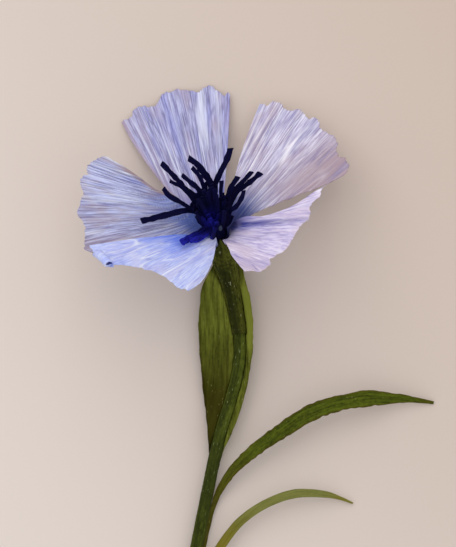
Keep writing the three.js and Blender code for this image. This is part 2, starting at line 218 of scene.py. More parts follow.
# %% [markdown]
# Three kinds of grid cover every shape here. A **sheet** has a front skin and a back skin
# with a rim between them. A **rod** is a row of closed rings with a fan of triangles over
# each end. A **pipe** is a row of rings that comes back to where it began, so it has an
# outside, an inside and a rim at each end.


# %% Grids for sheets, rods and pipes
def grid_faces(ids):
    """The corner numbers of the faces between the rows and columns of a grid."""
    return np.stack([ids[:-1, :-1], ids[:-1, 1:], ids[1:, 1:], ids[1:, :-1]], -1).reshape(-1, 4)


def flat_marks(marks, count):
    """Each mark as a list with one row for each place of the grid."""
    return {key: v.reshape(count, -1) if v.ndim == 3 else v.reshape(count) for key, v in marks.items()}


def normals_of(middle):
    """The way each place of a grid looks: its step to the next column crossed with its
    step to the next row."""
    return unit(np.cross(np.gradient(middle, axis=1), np.gradient(middle, axis=0)))


def sheet(middle, thickness, marks):
    """A sheet: its middle plus and minus half the thickness along the normal, closed by
    a rim from skin to skin round all four sides."""
    rows, columns, _ = middle.shape
    half = normals_of(middle) * np.broadcast_to(thickness, (rows, columns))[..., None] / 2
    places = np.vstack([(middle + half).reshape(-1, 3), (middle - half).reshape(-1, 3)])
    count = rows * columns
    ids = np.arange(count).reshape(rows, columns)
    border = np.r_[ids[0, :-1], ids[:-1, -1], ids[-1, :0:-1], ids[:0:-1, 0]]
    after = np.roll(border, -1)
    rim = np.stack([after, border, border + count, after + count], -1)
    faces = np.vstack([grid_faces(ids), grid_faces(ids + count)[:, ::-1], rim])
    marks = {key: np.concatenate([v, v]) for key, v in flat_marks(marks, count).items()}
    return places, [faces], marks


def rod(rings, marks):
    """A rod: rings of places joined in order, with a fan to a middle place at each end."""
    rows, around, _ = rings.shape
    count = rows * around
    places = np.vstack([rings.reshape(-1, 3), rings[0].mean(0), rings[-1].mean(0)])
    ids = np.arange(count).reshape(rows, around)
    first, last = ids[0], ids[-1]
    start = np.stack([np.full(around, count), np.roll(first, -1), first], -1)
    end = np.stack([np.full(around, count + 1), last, np.roll(last, -1)], -1)
    marks = {key: np.concatenate([v, v[:1], v[-1:]]) for key, v in flat_marks(marks, count).items()}
    return places, [grid_faces(np.hstack([ids, ids[:, :1]])), np.vstack([start, end])], marks


def pipe(rings, marks):
    """A pipe: rings of places joined in order, the last one to the first."""
    rows, around, _ = rings.shape
    ids = np.arange(rows * around).reshape(rows, around)
    ids = np.vstack([ids, ids[:1]])
    faces = grid_faces(np.hstack([ids, ids[:, :1]]))
    return rings.reshape(-1, 3), [faces], flat_marks(marks, rows * around)


# %% [markdown]
# ## Tools for materials
#
# Colours are written as sRGB hex values, the way a paint program shows them, and one
# function turns them into the linear values that Blender's sockets hold. One small
# function adds a node, sets it up and links it.


# %% Colours and nodes
def srgb(code):
    """Linear red, green, blue and alpha of a colour such as #b9b8e2."""
    parts = [int(code[k : k + 2], 16) / 255 for k in (1, 3, 5)]
    return (*[c / 12.92 if c <= 0.04045 else ((c + 0.055) / 1.055) ** 2.4 for c in parts], 1.0)


def add(tree, kind, inputs, out=0, **settings):
    """Adds a node of one kind and gives back one of its outputs. Each input is either a
    value or another node's output, which is then linked to it."""
    node = tree.nodes.new("ShaderNode" + kind)
    for key, value in settings.items():
        setattr(node, key, value)
    for key, value in inputs.items():
        if isinstance(value, bpy.types.NodeSocket):
            tree.links.new(value, node.inputs[key])
        else:
            node.inputs[key].default_value = value
    return node.outputs[out] if node.outputs else node


def new_material(name):
    """A new material whose node tree is still empty."""
    material = bpy.data.materials.new(name)
    material.use_nodes = True
    material.node_tree.nodes.clear()
    return material, material.node_tree


# Settings that come again and again: a colour mix, and a smooth change of range
COLOURS = {"data_type": "RGBA", "out": 2}
SMOOTH = {"interpolation_type": "SMOOTHSTEP"}
RANGE = ("Value", "From Min", "From Max", "To Min", "To Max")

# %% [markdown]
# ## The table, the camera and the light
#
# The table is a plain warm sheet, a little darker towards the upper right, where shade is
# painted into its colour. The light is a large soft lamp beyond the petals and a pale
# surround that fills the shadows, so that colours come out about as they are written.

# %% Table: matt painted board, which scatters light evenly and shows no grain
# It grows darker between two places on a line to the upper right, in metres: painted shade
# for light that falls off across the table. A step upwards counts less than a step to the right.
TABLE_HALF = 5.0
DARKER_FROM, DARKER_TO, UPWARD_SHARE = -0.1, 0.14, 0.6
material, tree = new_material("matt_painted_board")
place = add(tree, "TexCoord", {}, "Object")
across = add(tree, "SeparateXYZ", {0: place}, "X")
upwards = add(tree, "SeparateXYZ", {0: place}, "Y")
rising = add(tree, "Math", {0: upwards, 1: UPWARD_SHARE, 2: across}, operation="MULTIPLY_ADD")
darker = add(tree, "MapRange", dict(zip(RANGE, (rising, DARKER_FROM, DARKER_TO, 0.0, 1.0))))
paint = add(tree, "Mix", {0: darker, 6: srgb("#e3d6cd"), 7: srgb("#cfbcae")}, **COLOURS)
board = add(tree, "BsdfPrincipled", {"Base Color": paint, "Roughness": 0.9, "Specular IOR Level": 0.1})
add(tree, "OutputMaterial", {"Surface": board})

sides = (-TABLE_HALF, TABLE_HALF)
mesh = bpy.data.meshes.new("table")
mesh.from_pydata([(x, y, 0) for y in sides for x in sides], [], [(0, 1, 3, 2)])
mesh.materials.append(material)
table = bpy.data.objects.new("table", mesh)
bpy.context.scene.collection.objects.link(table)

# %% Camera
# The picture is 456 by 547 pixels at 0.3 mm to a pixel, and its middle is 2.4 mm right of
# and 10.05 mm below the neck. A long lens keeps near and far petals the same size.
PIXELS_HIGH, PIXEL = 547, 0.3
PICTURE_MIDDLE = np.array([2.4, -10.05, 0.0])
LENS, SENSOR = 1000.0, 36.0
FARTHEST_METRES = 50
distance = PIXELS_HIGH * PIXEL / SENSOR * LENS
camera = bpy.data.objects.new("camera", bpy.data.cameras.new("camera"))
camera.data.lens = LENS
camera.data.sensor_width = SENSOR
camera.data.clip_end = FARTHEST_METRES
camera.location = (PICTURE_MIDDLE + NECK + UP * distance) * MM
bpy.context.scene.collection.objects.link(camera)
bpy.context.scene.camera = camera
print("camera is", round(distance), "mm above the neck")

# %% Light: the lamp's watts, its width and its distance in metres, and the pale surround
KEY_FROM = unit(np.array([-0.35, 0.75, 1.0]))
KEY_POWER, KEY_SIZE, KEY_DISTANCE = 11, 1.8, 1.6
SURROUND_COLOUR, SURROUND_STRENGTH = (0.95, 0.97, 1.0, 1), 0.78
key = bpy.data.objects.new("key", bpy.data.lights.new("key", "AREA"))
key.data.energy = KEY_POWER
key.data.size = KEY_SIZE
key.data.color = (1.0, 0.985, 0.96)
key.location = KEY_FROM * KEY_DISTANCE
key.rotation_euler = key.location.to_track_quat("Z", "Y").to_euler()
bpy.context.scene.collection.objects.link(key)
world = bpy.data.worlds.new("pale_surround")
world.use_nodes = True
world.node_tree.nodes["Background"].inputs["Color"].default_value = SURROUND_COLOUR
world.node_tree.nodes["Background"].inputs["Strength"].default_value = SURROUND_STRENGTH
bpy.context.scene.world = world
bpy.context.scene.view_settings.view_transform = "Standard"

# %% [markdown]
# ## Crepe paper
#
# Crepe paper is made by scraping wet paper off a roller, so it is full of fine folds
# that all run one way. That way is its grain. Every piece carries a mark named `grain`:
# the place across the grain and along it, in millimetres, and the height of the fold
# from -1 to 1. Streaks are noise whose spots are drawn out along the grain.


# %% Streaks along the grain
def streaks(tree, grain, width, length, shift):
    """Noise whose spots are width mm wide across the grain and length mm long."""
    scale = {"Scale": (1 / width, 1 / length, 0.0), "Location": (shift, shift / 3, shift)}
    moved = add(tree, "Mapping", {"Vector": grain, **scale})
    return add(tree, "TexNoise", {"Vector": moved, "Scale": 1.0, "Detail": 2.0, "Roughness": 0.6})


def crepe_surface(tree, colour, roughness, gloss, thin, depth):
    """Matt paper. Its finest folds are too small for the mesh, so the thin streaks also
    raise and lower the surface, by depth mm."""
    bump = add(tree, "Bump", {"Strength": 0.8, "Distance": depth * MM, "Height": thin})
    finish = {"Roughness": roughness, "Specular IOR Level": gloss, "Normal": bump}
    surface = add(tree, "BsdfPrincipled", {"Base Color": colour, **finish})
    add(tree, "OutputMaterial", {"Surface": surface})


# %% [markdown]
# The petals' paper was dyed by hand. Its tone varies from streak to streak, it runs into a
# deep blue at the foot, and it turns warmer along some edges. Light and shade are painted
# into it too: the ridges of the folds are lighter and the valleys darker, the sharpest
# crests carry a nearly white painted highlight, and painted shade lies in the sharpest
# grooves, near the calyx and where a petal turns away from the lamp. Crepe is matt: it
# scatters light evenly.


# %% Petal paper: hand-dyed crepe, matt and streaked
PETAL_MARKS = ("crest", "groove", "dye", "warm_tint_and_shade", "shade")
DEEP_SHADE = "#34305e"
THIN_STREAK = 0.38


def petal_paper(name, ridge, valley, crest, groove, dye, warm, width, length):
    """The colours are those of the ridges and the valleys, the painted highlight on the sharp
    crests, the painted shade in the sharp grooves, the deep dye, and the warm tint, which
    some petals also use for painted shade. width and length are those of the streaks, in mm,
    and come from the spacing of the paper's folds."""
    material, tree = new_material(name)
    grain = add(tree, "Attribute", {}, "Vector", attribute_name="grain")
    fold = add(tree, "SeparateXYZ", {0: grain}, "Z")
    marks = {key: add(tree, "Attribute", {}, "Fac", attribute_name=key) for key in PETAL_MARKS}
    wide = streaks(tree, grain, width, length, 3.1)
    thin = streaks(tree, grain, THIN_STREAK, length / 2, 7.7)
    cloud = streaks(tree, grain, 5, 12, 1.3)
    haze = streaks(tree, grain, 3, 16, 8.3)
    # Both noises are 0.5 on average, so that the average tone comes out as a half. The Mix
    # node keeps it between 0 and 1.
    tone = -1.75
    # The fold's height paints the ridges of the folds lighter and the valleys darker: painted light and shade
    for part, weight in ((fold, 0.25), (wide, 1.5), (thin, 3.0)):
        tone = add(tree, "Math", {0: part, 1: weight, 2: tone}, operation="MULTIPLY_ADD")
    colour = add(tree, "Mix", {0: tone, 6: srgb(valley), 7: srgb(ridge)}, **COLOURS)
    cloud = add(tree, "MapRange", dict(zip(RANGE, (cloud, 0.45, 0.68, 0.0, 0.45))), **SMOOTH)
    haze = add(tree, "MapRange", dict(zip(RANGE, (haze, 0.5, 0.7, 0.0, 0.25))), **SMOOTH)
    # Dye and the warm tint follow the thin streaks: their marks count more where a streak is dark
    depth = add(tree, "Math", {0: thin, 1: -0.7, 2: 1.35}, operation="MULTIPLY_ADD")
    depth = add(tree, "Math", {0: depth, 1: marks["dye"], 2: haze}, operation="MULTIPLY_ADD")
    patch = add(tree, "Math", {0: thin, 1: -0.8, 2: 1.4}, operation="MULTIPLY_ADD")
    patch = add(tree, "Math", {0: patch, 1: marks["warm_tint_and_shade"]}, operation="MULTIPLY")
    # Painted one over another, from the first to the last
    # The crest layer is a painted highlight, and the groove and shade layers are painted shade
    layers = (
        (cloud, warm), (depth, dye), (patch, warm),
        (marks["groove"], groove), (marks["crest"], crest), (marks["shade"], DEEP_SHADE),
    )
    for share, code in layers:
        colour = add(tree, "Mix", {0: share, 6: colour, 7: srgb(code)}, **COLOURS)
    crepe_surface(tree, colour, 0.9, 0.12, thin, 0.14)
    return material


# %% [markdown]
# ## Petals
#
# Each petal is a fan of threads. A thread starts on the claw, which is the petal's
# narrow foot in the calyx, follows the head's axis for a few millimetres, leans out and
# ends at the torn edge. So one cubic curve for each thread, with its four control points
# worked out from the claw and from the torn edge, makes the whole petal.

# %% Shapes of the petals
# A pair holds the values at the first and last corner of the torn edge, and a group of
# three also the one halfway. Lengths are in mm and angles in degrees.
# facing, sweep: where the claw's middle sits round the head, and how far round it goes
# edge, centre: the torn edge from above, and where the lines of the grain would meet
# grain, lip: the bearing and the slope of the threads where they reach the torn edge
# rise: how high the torn edge stands, as an angle seen from the neck
# lift, spread: how far a thread follows the head's axis, and how far it leans out by then
# pull: how straight a thread runs into the torn edge, as a share of its length
PETALS = {
    "petal_top": {
        "facing": -15, "centre": (3, -23),
        "edge": [
            (-29.4, 35.1), (-28.8, 36), (-27.6, 36.3), (-26.4, 37.2), (-26.1, 39), (-24.9, 40.2),
            (-21.9, 40.2), (-20.4, 39.9), (-19.2, 40.2), (-18.4, 42), (-17.4, 43.8), (-16.2, 44.4),
            (-14.4, 44.7), (-12.6, 45.3), (-11.1, 45), (-9, 44.7), (-7.2, 44.4), (-6, 45),
            (-4.8, 45.9), (-3.3, 46.4), (-1.8, 45.6), (-0.3, 44.4), (1.4, 42.9), (1.8, 43.8),
            (2.4, 44.4), (3, 43.8),
        ],
        "grain": (116, 89), "rise": (-18.2, -18, -18.4), "lip": (-8, -8, -9),
        "lift": (4, 4), "spread": 3.6,
    },
    "petal_upper_right": {
        "facing": 57, "centre": (-12, -14),
        "edge": [
            (12, 41.1), (13.5, 40.5), (14.4, 40.2), (15.6, 41.7), (16.8, 41.7), (18.5, 40.7),
            (20.1, 39), (21.6, 39), (23.1, 39.3), (24.3, 39.3), (24.9, 38.4), (25.5, 37.2),
            (26.7, 36.3), (27.9, 36.9), (29.1, 36.3), (30, 35.4), (30, 33.9), (30.9, 33.3),
            (32.4, 31.8), (33.9, 31.5), (35.1, 30.3), (35.4, 28.8), (34.8, 27.3), (35.1, 26.1),
            (36, 24.9), (37.2, 24.6), (38.1, 23.4), (38.5, 21.9), (38.1, 20.4), (36.9, 19.5),
            (35.4, 18.9),
        ],
        "grain": (67, 24), "rise": (-16, -8, 11), "lip": (-12, -18, -4),
        "lift": (4, 9), "spread": 4.0,
    },
    "petal_lower_right": {
        "facing": 125, "sweep": 66, "centre": (-12, 3),
        "edge": [
            (32.1, 16.5), (30.6, 15.6), (30, 14.4), (30, 12.9), (28.5, 12), (27.3, 10.8),
            (26.7, 9.3), (26.7, 6.3), (24.9, 5.1), (23.4, 3.3), (21.9, 0.6), (20.1, -2.1),
            (18.6, -3.6), (16.5, -4.8), (15, -5.7), (15, -7.2), (13.8, -8.4), (12, -9.6),
            (10.2, -9.3), (8.1, -9.3),
        ],
        "grain": (30, -43), "rise": (33, 52, 73), "lip": (22, 46, 66),
        "lift": (10.5, 9), "spread": 2.2, "pull": (0.6, 0.4),
    },
    "petal_lower_left": {
        "facing": 218, "sweep": 42, "centre": (14, 8),
        "edge": [
            (-6, -13.2), (-8.4, -14.7), (-9.6, -15.3), (-10.5, -14.9), (-12.6, -14.4),
            (-13.8, -12.9), (-15, -12.3), (-16.5, -11.1), (-18, -10.2), (-19.5, -9.3),
            (-21.6, -8.7), (-24, -8.1), (-27, -7.7), (-30, -7.4), (-33, -7.4), (-35.3, -8.9),
            (-38.4, -10), (-40.2, -8.6), (-39.8, -6.2), (-37.2, -4.4), (-38, -2.9), (-39.3, -1.8),
        ],
        "grain": (232, 190), "rise": (69, 56, 34), "lip": (60, 47, 22),
        "lift": (13, 9), "spread": 2.2, "pull": (0.6, 0.4),
    },
    "petal_left": {
        "facing": 273, "centre": (0, 8),
        "edge": [
            (-36.9, -4.2), (-38.4, -3.7), (-40, -3), (-40.5, -1.5), (-40.4, 0.6), (-40.2, 3),
            (-41.2, 5.5), (-42.3, 7.2), (-43, 8.6), (-42.3, 9.6), (-41.2, 12.3), (-40.8, 13.5),
            (-40.9, 14.6), (-41.8, 16.5), (-41.7, 18), (-41, 19), (-39.6, 19.7), (-39.4, 21.3),
            (-39.2, 22.7), (-38.8, 23.4), (-36.9, 24.1), (-36, 24.9), (-34.2, 24.9),
        ],
        "grain": (190, 151), "rise": (22, 13, 5), "lip": (10, 4, -4),
        "lift": (5, 5), "spread": 4.0,
    },
}
CLAW_RADIUS, CLAW_DEPTH, CLAW_ROWS = 2.85, 4.0, 5
CLAW_SWEEP = 64
THREAD_PULL = (0.4, 0.4)
# Height and spacing of the torn edge's teeth, in mm: wide ones, narrow ones and fibres
TEETH = [(0.3, 1.3), (0.22, 0.5), (0.18, 0.25)]
EDGE_SHARE = 0.2

# %% Threads of a petal
HEAD_RIGHT = unit(np.cross(AXIS, UP))
HEAD_FRONT = np.cross(HEAD_RIGHT, AXIS)


def through(three, share):
    """The curve of second degree through three values at shares 0, 1/2 and 1."""
    a, b, c = three
    return a * (1 - share) * (1 - 2 * share) + b * 4 * share * (1 - share) + c * share * (2 * share - 1)


def heading(bearing, elevation):
    """Direction from a bearing seen from above and an elevation, both in degrees."""
    turn, climb = np.broadcast_arrays(np.radians(bearing), np.radians(elevation))
    return np.stack([np.cos(climb) * np.cos(turn), np.cos(climb) * np.sin(turn), np.sin(climb)], -1)


def along_edge(edge, across):
    """Places on the torn edge. They are spaced by how far the edge runs across the
    threads, with a small share of its full length added, so that a step in the edge gets
    few threads. Also gives the petal's width in mm, measured the same way."""
    edge = np.array(edge, float)
    steps, middle = np.diff(edge, axis=0), (edge[1:] + edge[:-1]) / 2
    crosswise = np.abs(middle[:, 0] * steps[:, 1] - middle[:, 1] * steps[:, 0])
    crosswise = crosswise / np.linalg.norm(middle, axis=1)
    place = np.r_[0, np.cumsum(crosswise + EDGE_SHARE * np.linalg.norm(steps, axis=1))]
    xy = np.stack([np.interp(across * place[-1], place, edge[:, k]) for k in range(2)], -1)
    return xy, place[-1]


def petal_threads(shape, columns, rows, seed):
    """A grid of places, row by row from the claw to the torn edge, with how far each one
    lies across and along the threads. The tear leaves each thread a little longer or
    shorter than the outline, by noise of three sizes."""
    across = np.linspace(0, 1, columns)
    xy, width = along_edge(shape["edge"], across)
    thread = across * width
    teeth = [tall * noise(thread / wide, 0, seed + k) for k, (tall, wide) in enumerate(TEETH)]
    ragged = teeth[0] + teeth[1] + np.abs(teeth[2])
    rise = np.radians(through(shape["rise"], across))
    tip = np.column_stack([xy, np.linalg.norm(xy, axis=1) * np.tan(rise)])
    slope = heading(blend(*shape["grain"], across), through(shape["lip"], across))
    tip = tip + slope * ragged[:, None]
    angle = np.radians(shape["facing"] + (across - 0.5) * shape.get("sweep", CLAW_SWEEP))[:, None]
    outward = -HEAD_FRONT * np.cos(angle) + HEAD_RIGHT * np.sin(angle)
    lift = blend(*shape["lift"], across)[:, None]
    pull = blend(*shape.get("pull", THREAD_PULL), across) * np.linalg.norm(tip, axis=1)
    a = outward * CLAW_RADIUS
    b = a + AXIS * lift + outward * shape["spread"]
    c = tip - slope * pull[:, None]
    t = np.linspace(0, 1, rows)[:, None, None]
    fan = a * (1 - t) ** 3 + 3 * b * t * (1 - t) ** 2 + 3 * c * t**2 * (1 - t) + tip * t**3
    deep = CLAW_DEPTH * np.linspace(1, 0, CLAW_ROWS, endpoint=False)
    claw = a - AXIS * deep[:, None, None]
    middle = np.concatenate([claw, fan])
    gone = np.linalg.norm(np.diff(middle, axis=0), axis=-1)
    along = np.vstack([np.zeros(columns), np.cumsum(gone, axis=0)]) - CLAW_DEPTH
    return middle, np.tile(thread, (len(middle), 1)), along, width


# %% [markdown]
# The petals were cut from a flat sheet, so the paper's grain runs nearly straight through
# a petal and is cut off at its sides. Its lines are rays from a centre that lies far
# beyond the petal's foot. The folds of the crepe are noise drawn out along those rays:
# soft waves, and sharp crests and grooves where a second noise changes its sign. They
# are flat at the claw, where glue and thumbs have pressed them.


# %% Grain lines and folds
GRAIN_START = 60


def grain_of(middle, centre):
    """Across: the ray's angle times the petal's mean distance from the centre, counted
    from a start that keeps it above 0. Along: the distance from the centre. Both in mm,
    from above."""
    x, y = middle[..., 0] - centre[0], middle[..., 1] - centre[1]
    along = np.hypot(x, y)
    tips = np.stack([x[-1], y[-1]])
    main = math.atan2(tips[1].mean(), tips[0].mean())
    angle = np.mod(np.arctan2(y, x) - main + np.pi, 2 * np.pi) - np.pi
    return angle * along[-1].mean() + GRAIN_START, along


def sharp_lines(across, along, spacing, length, seed, half=0.22):
    """1 on the lines where a noise changes its sign, 0 where the noise is further than
    half from 0. They fade in and out along their length."""
    wave = np.abs(noise(across / spacing, along / length, seed))
    strength = 0.6 + 0.6 * noise(across / spacing / 2, along / (length * 0.4), seed + 1)
    return np.clip(1 - wave / half, 0, 1) * np.clip(strength, 0, 1)


# %% One petal
# Folds grow to full height, and their streaks to full strength, between these mm from the
# calyx. The torn edge is thinner than the rest.
PAPER, EDGE_THINNER = 0.18, 0.6
PETAL_COLUMNS, PETAL_ROWS = 240, 100
FOLDS_GROW, STREAKS_GROW = (2, 18), (1, 12)


def petal(node, name, seed, material, waves, crests, grooves, tint, change=None):
    """One petal: threads, then whatever changes its large form, then its folds. waves,
    crests and grooves are (spacing, length, height) in mm. tint gives the marks dye, warm
    tint and shade from a, the share across, r, the share along, d, the mm from the calyx, and
    m, the places. shade is painted shade, and so is part of the warm tint."""
    middle, thread, along, width = petal_threads(PETALS[node], PETAL_COLUMNS, PETAL_ROWS, seed + 40)
    share, reach = thread / width, (along + CLAW_DEPTH) / (along[-1] + CLAW_DEPTH)
    across, out = grain_of(middle, PETALS[node]["centre"])
    # The grain wanders by up to 0.3 mm in long bends, and by up to 0.06 mm in short ones
    across = across + 0.3 * noise(across / 7, out / 11, seed) + 0.06 * noise(across / 2, out / 5, seed + 9)
    dye, warm_tint_and_shade, shade = (np.broadcast_to(v, along.shape) for v in tint(share, reach, along, middle))
    if change:
        middle = change(middle, share, along)
    folds = [tall * noise(across / wide, out / long, seed + 1 + k)
             for k, (wide, long, tall) in enumerate(waves)]
    fold = sum(folds)
    crest = sharp_lines(across, out, crests[0], crests[1], seed + 11, half=0.16)
    groove = sharp_lines(across, out, grooves[0], grooves[1], seed + 21)
    height = fold + crest * crests[2] - groove * grooves[2]
    middle = middle + normals_of(middle) * (height * step(along, *FOLDS_GROW))[..., None]
    shown = step(along, *STREAKS_GROW)
    # The crest mark is a painted highlight on the sharp crests, and the groove mark is painted shade in the
    # sharp grooves
    marks = {
        "grain": np.stack([across, out, fold / sum(tall for _, _, tall in waves) * shown], -1),
        "crest": 0.85 * crest * shown * (1 - 0.6 * np.clip(dye + warm_tint_and_shade, 0, 1)),
        "groove": 0.8 * groove * shown,
        "dye": dye, "warm_tint_and_shade": warm_tint_and_shade, "shade": shade,
    }
    thickness = PAPER * (1 - EDGE_THINNER * step(reach, 0.97, 1))
    make_piece(name, [sheet(middle, thickness, marks)], material, node)


# %% Wider and narrower petals
SIDE_SHARE = 0.18


def pushed(middle, near, along, bearing, amount, start, end, soft=3):
    """The paper near one side of a petal moves by amount mm along a bearing, where x lies
    between start and end, and less within soft mm of them. near is 0 at that side and 1
    at the petal's other side."""
    x = middle[..., 0]
    there = step(x, start - soft, start + soft) * fade(x, end - soft, end + soft)
    move = amount * fade(near, 0, SIDE_SHARE) * there * step(along, 0, 5)
    return middle + heading(bearing, 0) * move[..., None]


def parted(middle, share, along):
    """The petal's lower side stands clear of its neighbour near the claw, and dips towards
    the neighbour's corner further out."""
    middle = pushed(middle, 1 - share, along, 113, 0.15, 9, 13)
    return pushed(middle, 1 - share, along, 293, 0.6, 24, 36, soft=4)


# %% Upper petals
grey_lavender = petal_paper(
    "crepe_grey_lavender", "#cacaf0", "#8b86ac", "#e8eafc", "#77729b", "#6f78d0", "#b5a1b4", 0.6, 10
)
petal(
    "petal_top", "top_petal", 10, grey_lavender,
    waves=[(3, 30, 0.17), (1.0, 20, 0.22), (0.55, 9, 0.15)],
    crests=(1.0, 30, 0.22), grooves=(0.8, 14, 0.17),
    tint=lambda a, r, d, m: (
        0.85 * fade(d, 4, 20) + 0.3 * bell(a, 0.42, 0.03) + 0.2 * step(a, 0.85, 1),
        0.8 * fade(a, 0.01, 0.05) + 0.3 * fade(a, 0.05, 0.2) * step(r, 0.8, 1),
        0.5 * fade(d, 0, 9),
    ),
)
rose_white = petal_paper(
    "crepe_rose_white", "#eae6f8", "#a79dc2", "#fbf6fd", "#8f84a8", "#4a5a98", "#ab959f", 0.5, 12
)
petal(
    "petal_upper_right", "upper_right_petal", 20, rose_white,
    waves=[(3.4, 36, 0.12), (1.0, 24, 0.2), (0.55, 10, 0.15)],
    crests=(1.1, 36, 0.22), grooves=(0.8, 16, 0.17),
    tint=lambda a, r, d, m: (
        fade(d, 5, 19) + 0.2 * fade(d, 15, 26) * step(a, 0.2, 0.6),
        # The warm tint over the lower right is painted shade where the petal turns away from the lamp; a thin
        # warm line also runs along its lower edge
        0.95 * step(a, 0.45, 0.9) * step(r, 0.3, 0.8) + 0.5 * step(a, 0.985, 1),
        0.65 * fade(d, 4, 14),
    ),
    change=parted,
)

# %% Lower right petal, with its crease
# The crease starts here on the petal's grain, seen from above, and points this way
CREASE_START, CREASE_BEARING, CREASE_DROP = (-12, 3), 5, 1.2


def above_crease(middle):
    """Distance from the crease line, seen from above: more than 0 on its upper side."""
    climb = math.tan(math.radians(CREASE_BEARING))
    return middle[..., 1] - CREASE_START[1] - climb * (middle[..., 0] - CREASE_START[0])


def creased(middle, share, along):
    """The paper stands higher above the crease than below it, and less so further out.
    The petal's upper side laps over its neighbour near the claw, and dips further out.
    Its lower side reaches a little further round the core."""
    further_out = 1 - 0.7 * step(middle[..., 0], 16, 28)
    lift = step(above_crease(middle), -1.1, 1.1) * step(along, 0, 12) * further_out
    middle = middle + UP * (CREASE_DROP * lift)[..., None]
    middle = pushed(middle, share, along, 112, 0.9, 0, 10)
    middle = pushed(middle, 1 - share, along, 180, 0.7, -4, 11)
    return pushed(middle, share, along, 292, 1.1, 11, 25, soft=5)


pink_lavender = petal_paper(
    "crepe_pink_lavender", "#eae0f7", "#b9add9", "#f5effc", "#9489bb", "#5458b0", "#dac8d6", 0.7, 6
)
petal(
    "petal_lower_right", "lower_right_petal", 30, pink_lavender,
    waves=[(3, 18, 0.25), (1.1, 8, 0.15), (0.5, 4, 0.08)],
    crests=(1.6, 12, 0.12), grooves=(0.9, 7, 0.14),
    tint=lambda a, r, d, m: (
        fade(d, 4, 18) * (0.15 + 0.85 * step(above_crease(m), -2.5, 0.5))
        # The band just below the crease, given through the dye mark, is painted shade
        + 0.7 * bell(above_crease(m), -0.4, 1.4) * (1 - 0.7 * step(m[..., 0], 8, 26)),
        0.7 * step(r, 0.98, 1) + 0.2 * step(a, 0.5, 0.9),
        0.35 * bell(above_crease(m), 0, 0.6) * (1 - 0.4 * step(m[..., 0], 10, 28))
        + 0.8 * fade(d, 3, 12) * step(above_crease(m), -3, 0),
    ),
    change=creased,
)

# %% Lower left petal, with its rolled corner
ROLL_RADIUS = 1.2
ROLL_HINGE = (-35.6, -5.8)
ROLL_BEARING = 226


def rolled(middle, share, along):
    """What lies beyond a line across the corner is wound round a cylinder that touches
    the petal along that line: the distance beyond it becomes an angle times a radius."""
    nearest = np.argmin(np.linalg.norm(middle[..., :2] - ROLL_HINGE, axis=-1))
    hinge = middle.reshape(-1, 3)[nearest]
    face = normals_of(middle).reshape(-1, 3)[nearest]
    out = heading(ROLL_BEARING, 0.0)
    out = unit(out - face * (out @ face))
    beyond = np.maximum((middle - hinge) @ out, 0)[..., None]
    turn = beyond / ROLL_RADIUS
    return middle + out * (ROLL_RADIUS * np.sin(turn) - beyond) + face * (ROLL_RADIUS * (1 - np.cos(turn)))


blue_white = petal_paper(
    "crepe_blue_white", "#d3dcfd", "#b0baf4", "#eff3fe", "#98a0dc", "#6a84ee", "#c9c2e4", 0.5, 5
)
petal(
    "petal_lower_left", "lower_left_petal", 50, blue_white,
    waves=[(3.5, 20, 0.25), (1.2, 10, 0.12), (0.55, 5, 0.09)],
    crests=(1.2, 9, 0.12), grooves=(0.9, 6, 0.12),
    tint=lambda a, r, d, m: (
        fade(d, 18, 38) * step(a, 0.25, 0.55) + 0.35 * fade(d, 3, 12),
        # The warm tint near the foot on the right side is painted shadow of the navy strips
        0.4 * fade(a, 0.1, 0.35) * fade(r, 0.3, 0.8),
        0.5 * fade(d, 1, 9),
    ),
    change=rolled,
)

# %% Left petal, whose upper side is pushed up and to the right beside the core
smoky_blue = petal_paper(
    "crepe_smoky_blue", "#cacff4", "#8480a8", "#eef1fe", "#5c577e", "#6c86dc", "#a38d90", 0.5, 14
)
petal(
    "petal_left", "left_petal", 60, smoky_blue,
    waves=[(3, 30, 0.24), (0.9, 22, 0.2), (0.45, 10, 0.12)],
    crests=(0.9, 24, 0.18), grooves=(0.6, 28, 0.25),
    tint=lambda a, r, d, m: (
        0.45 * fade(d, 14, 28) * step(a, 0.45, 0.7) + 0.5 * fade(d, 6, 17),
        0.95 * step(a, 0.95, 0.97) * step(r, 0.3, 0.4) * fade(r, 0.8, 0.92)
        + 0.5 * fade(a, 0.05, 0.3) * step(r, 0.25, 0.5) + 0.8 * fade(a, 0.0, 0.04),
        0.5 * fade(d, 3, 13),
    ),
    change=lambda middle, share, along: pushed(middle, 1 - share, along, 62, 2.2, -17, 4),
)

# %% [markdown]
# ## Stem
#
# The stem is a steel wire with a narrow strip of olive paper wound round it. A strip
# that is wound up a wire laps over its own edge, so the radius grows a little across the
# strip and drops at its edge, once in every turn. The wire stays as the solid model has
# it and only gets its metal.

# %% Line of the stem, from inside the fringe to the cut end
STEM_TOP, STEM_PER_SPAN = 12, 60
STEM_POINTS = np.vstack([
    AXIS * STEM_TOP, AXIS * 0, AXIS * -8,
    [
        (3.2, -13, -9.1), (4.8, -21, -10.3), (5.9, -28.5, -10.8), (6, -35, -11.1),
        (5.1, -41, -11.3), (3.4, -47.5, -11.5), (0, -58.5, -11.8), (-3.3, -73.5, -12.2),
        (-6.6, -90, -12.7), (-10.2, -108, -13.2), (-13.2, -126, -13.6), (-15.3, -144, -13.9),
        (-16.4, -161, -14.1),
    ],
])
STEM = smooth_line(STEM_POINTS, STEM_PER_SPAN)
STEM_END = STEM_TOP - lengths_along(STEM)[-1]
NEARBY = 0.2
print("the stem's cut end is", round(-STEM_END, 1), "mm from the neck")


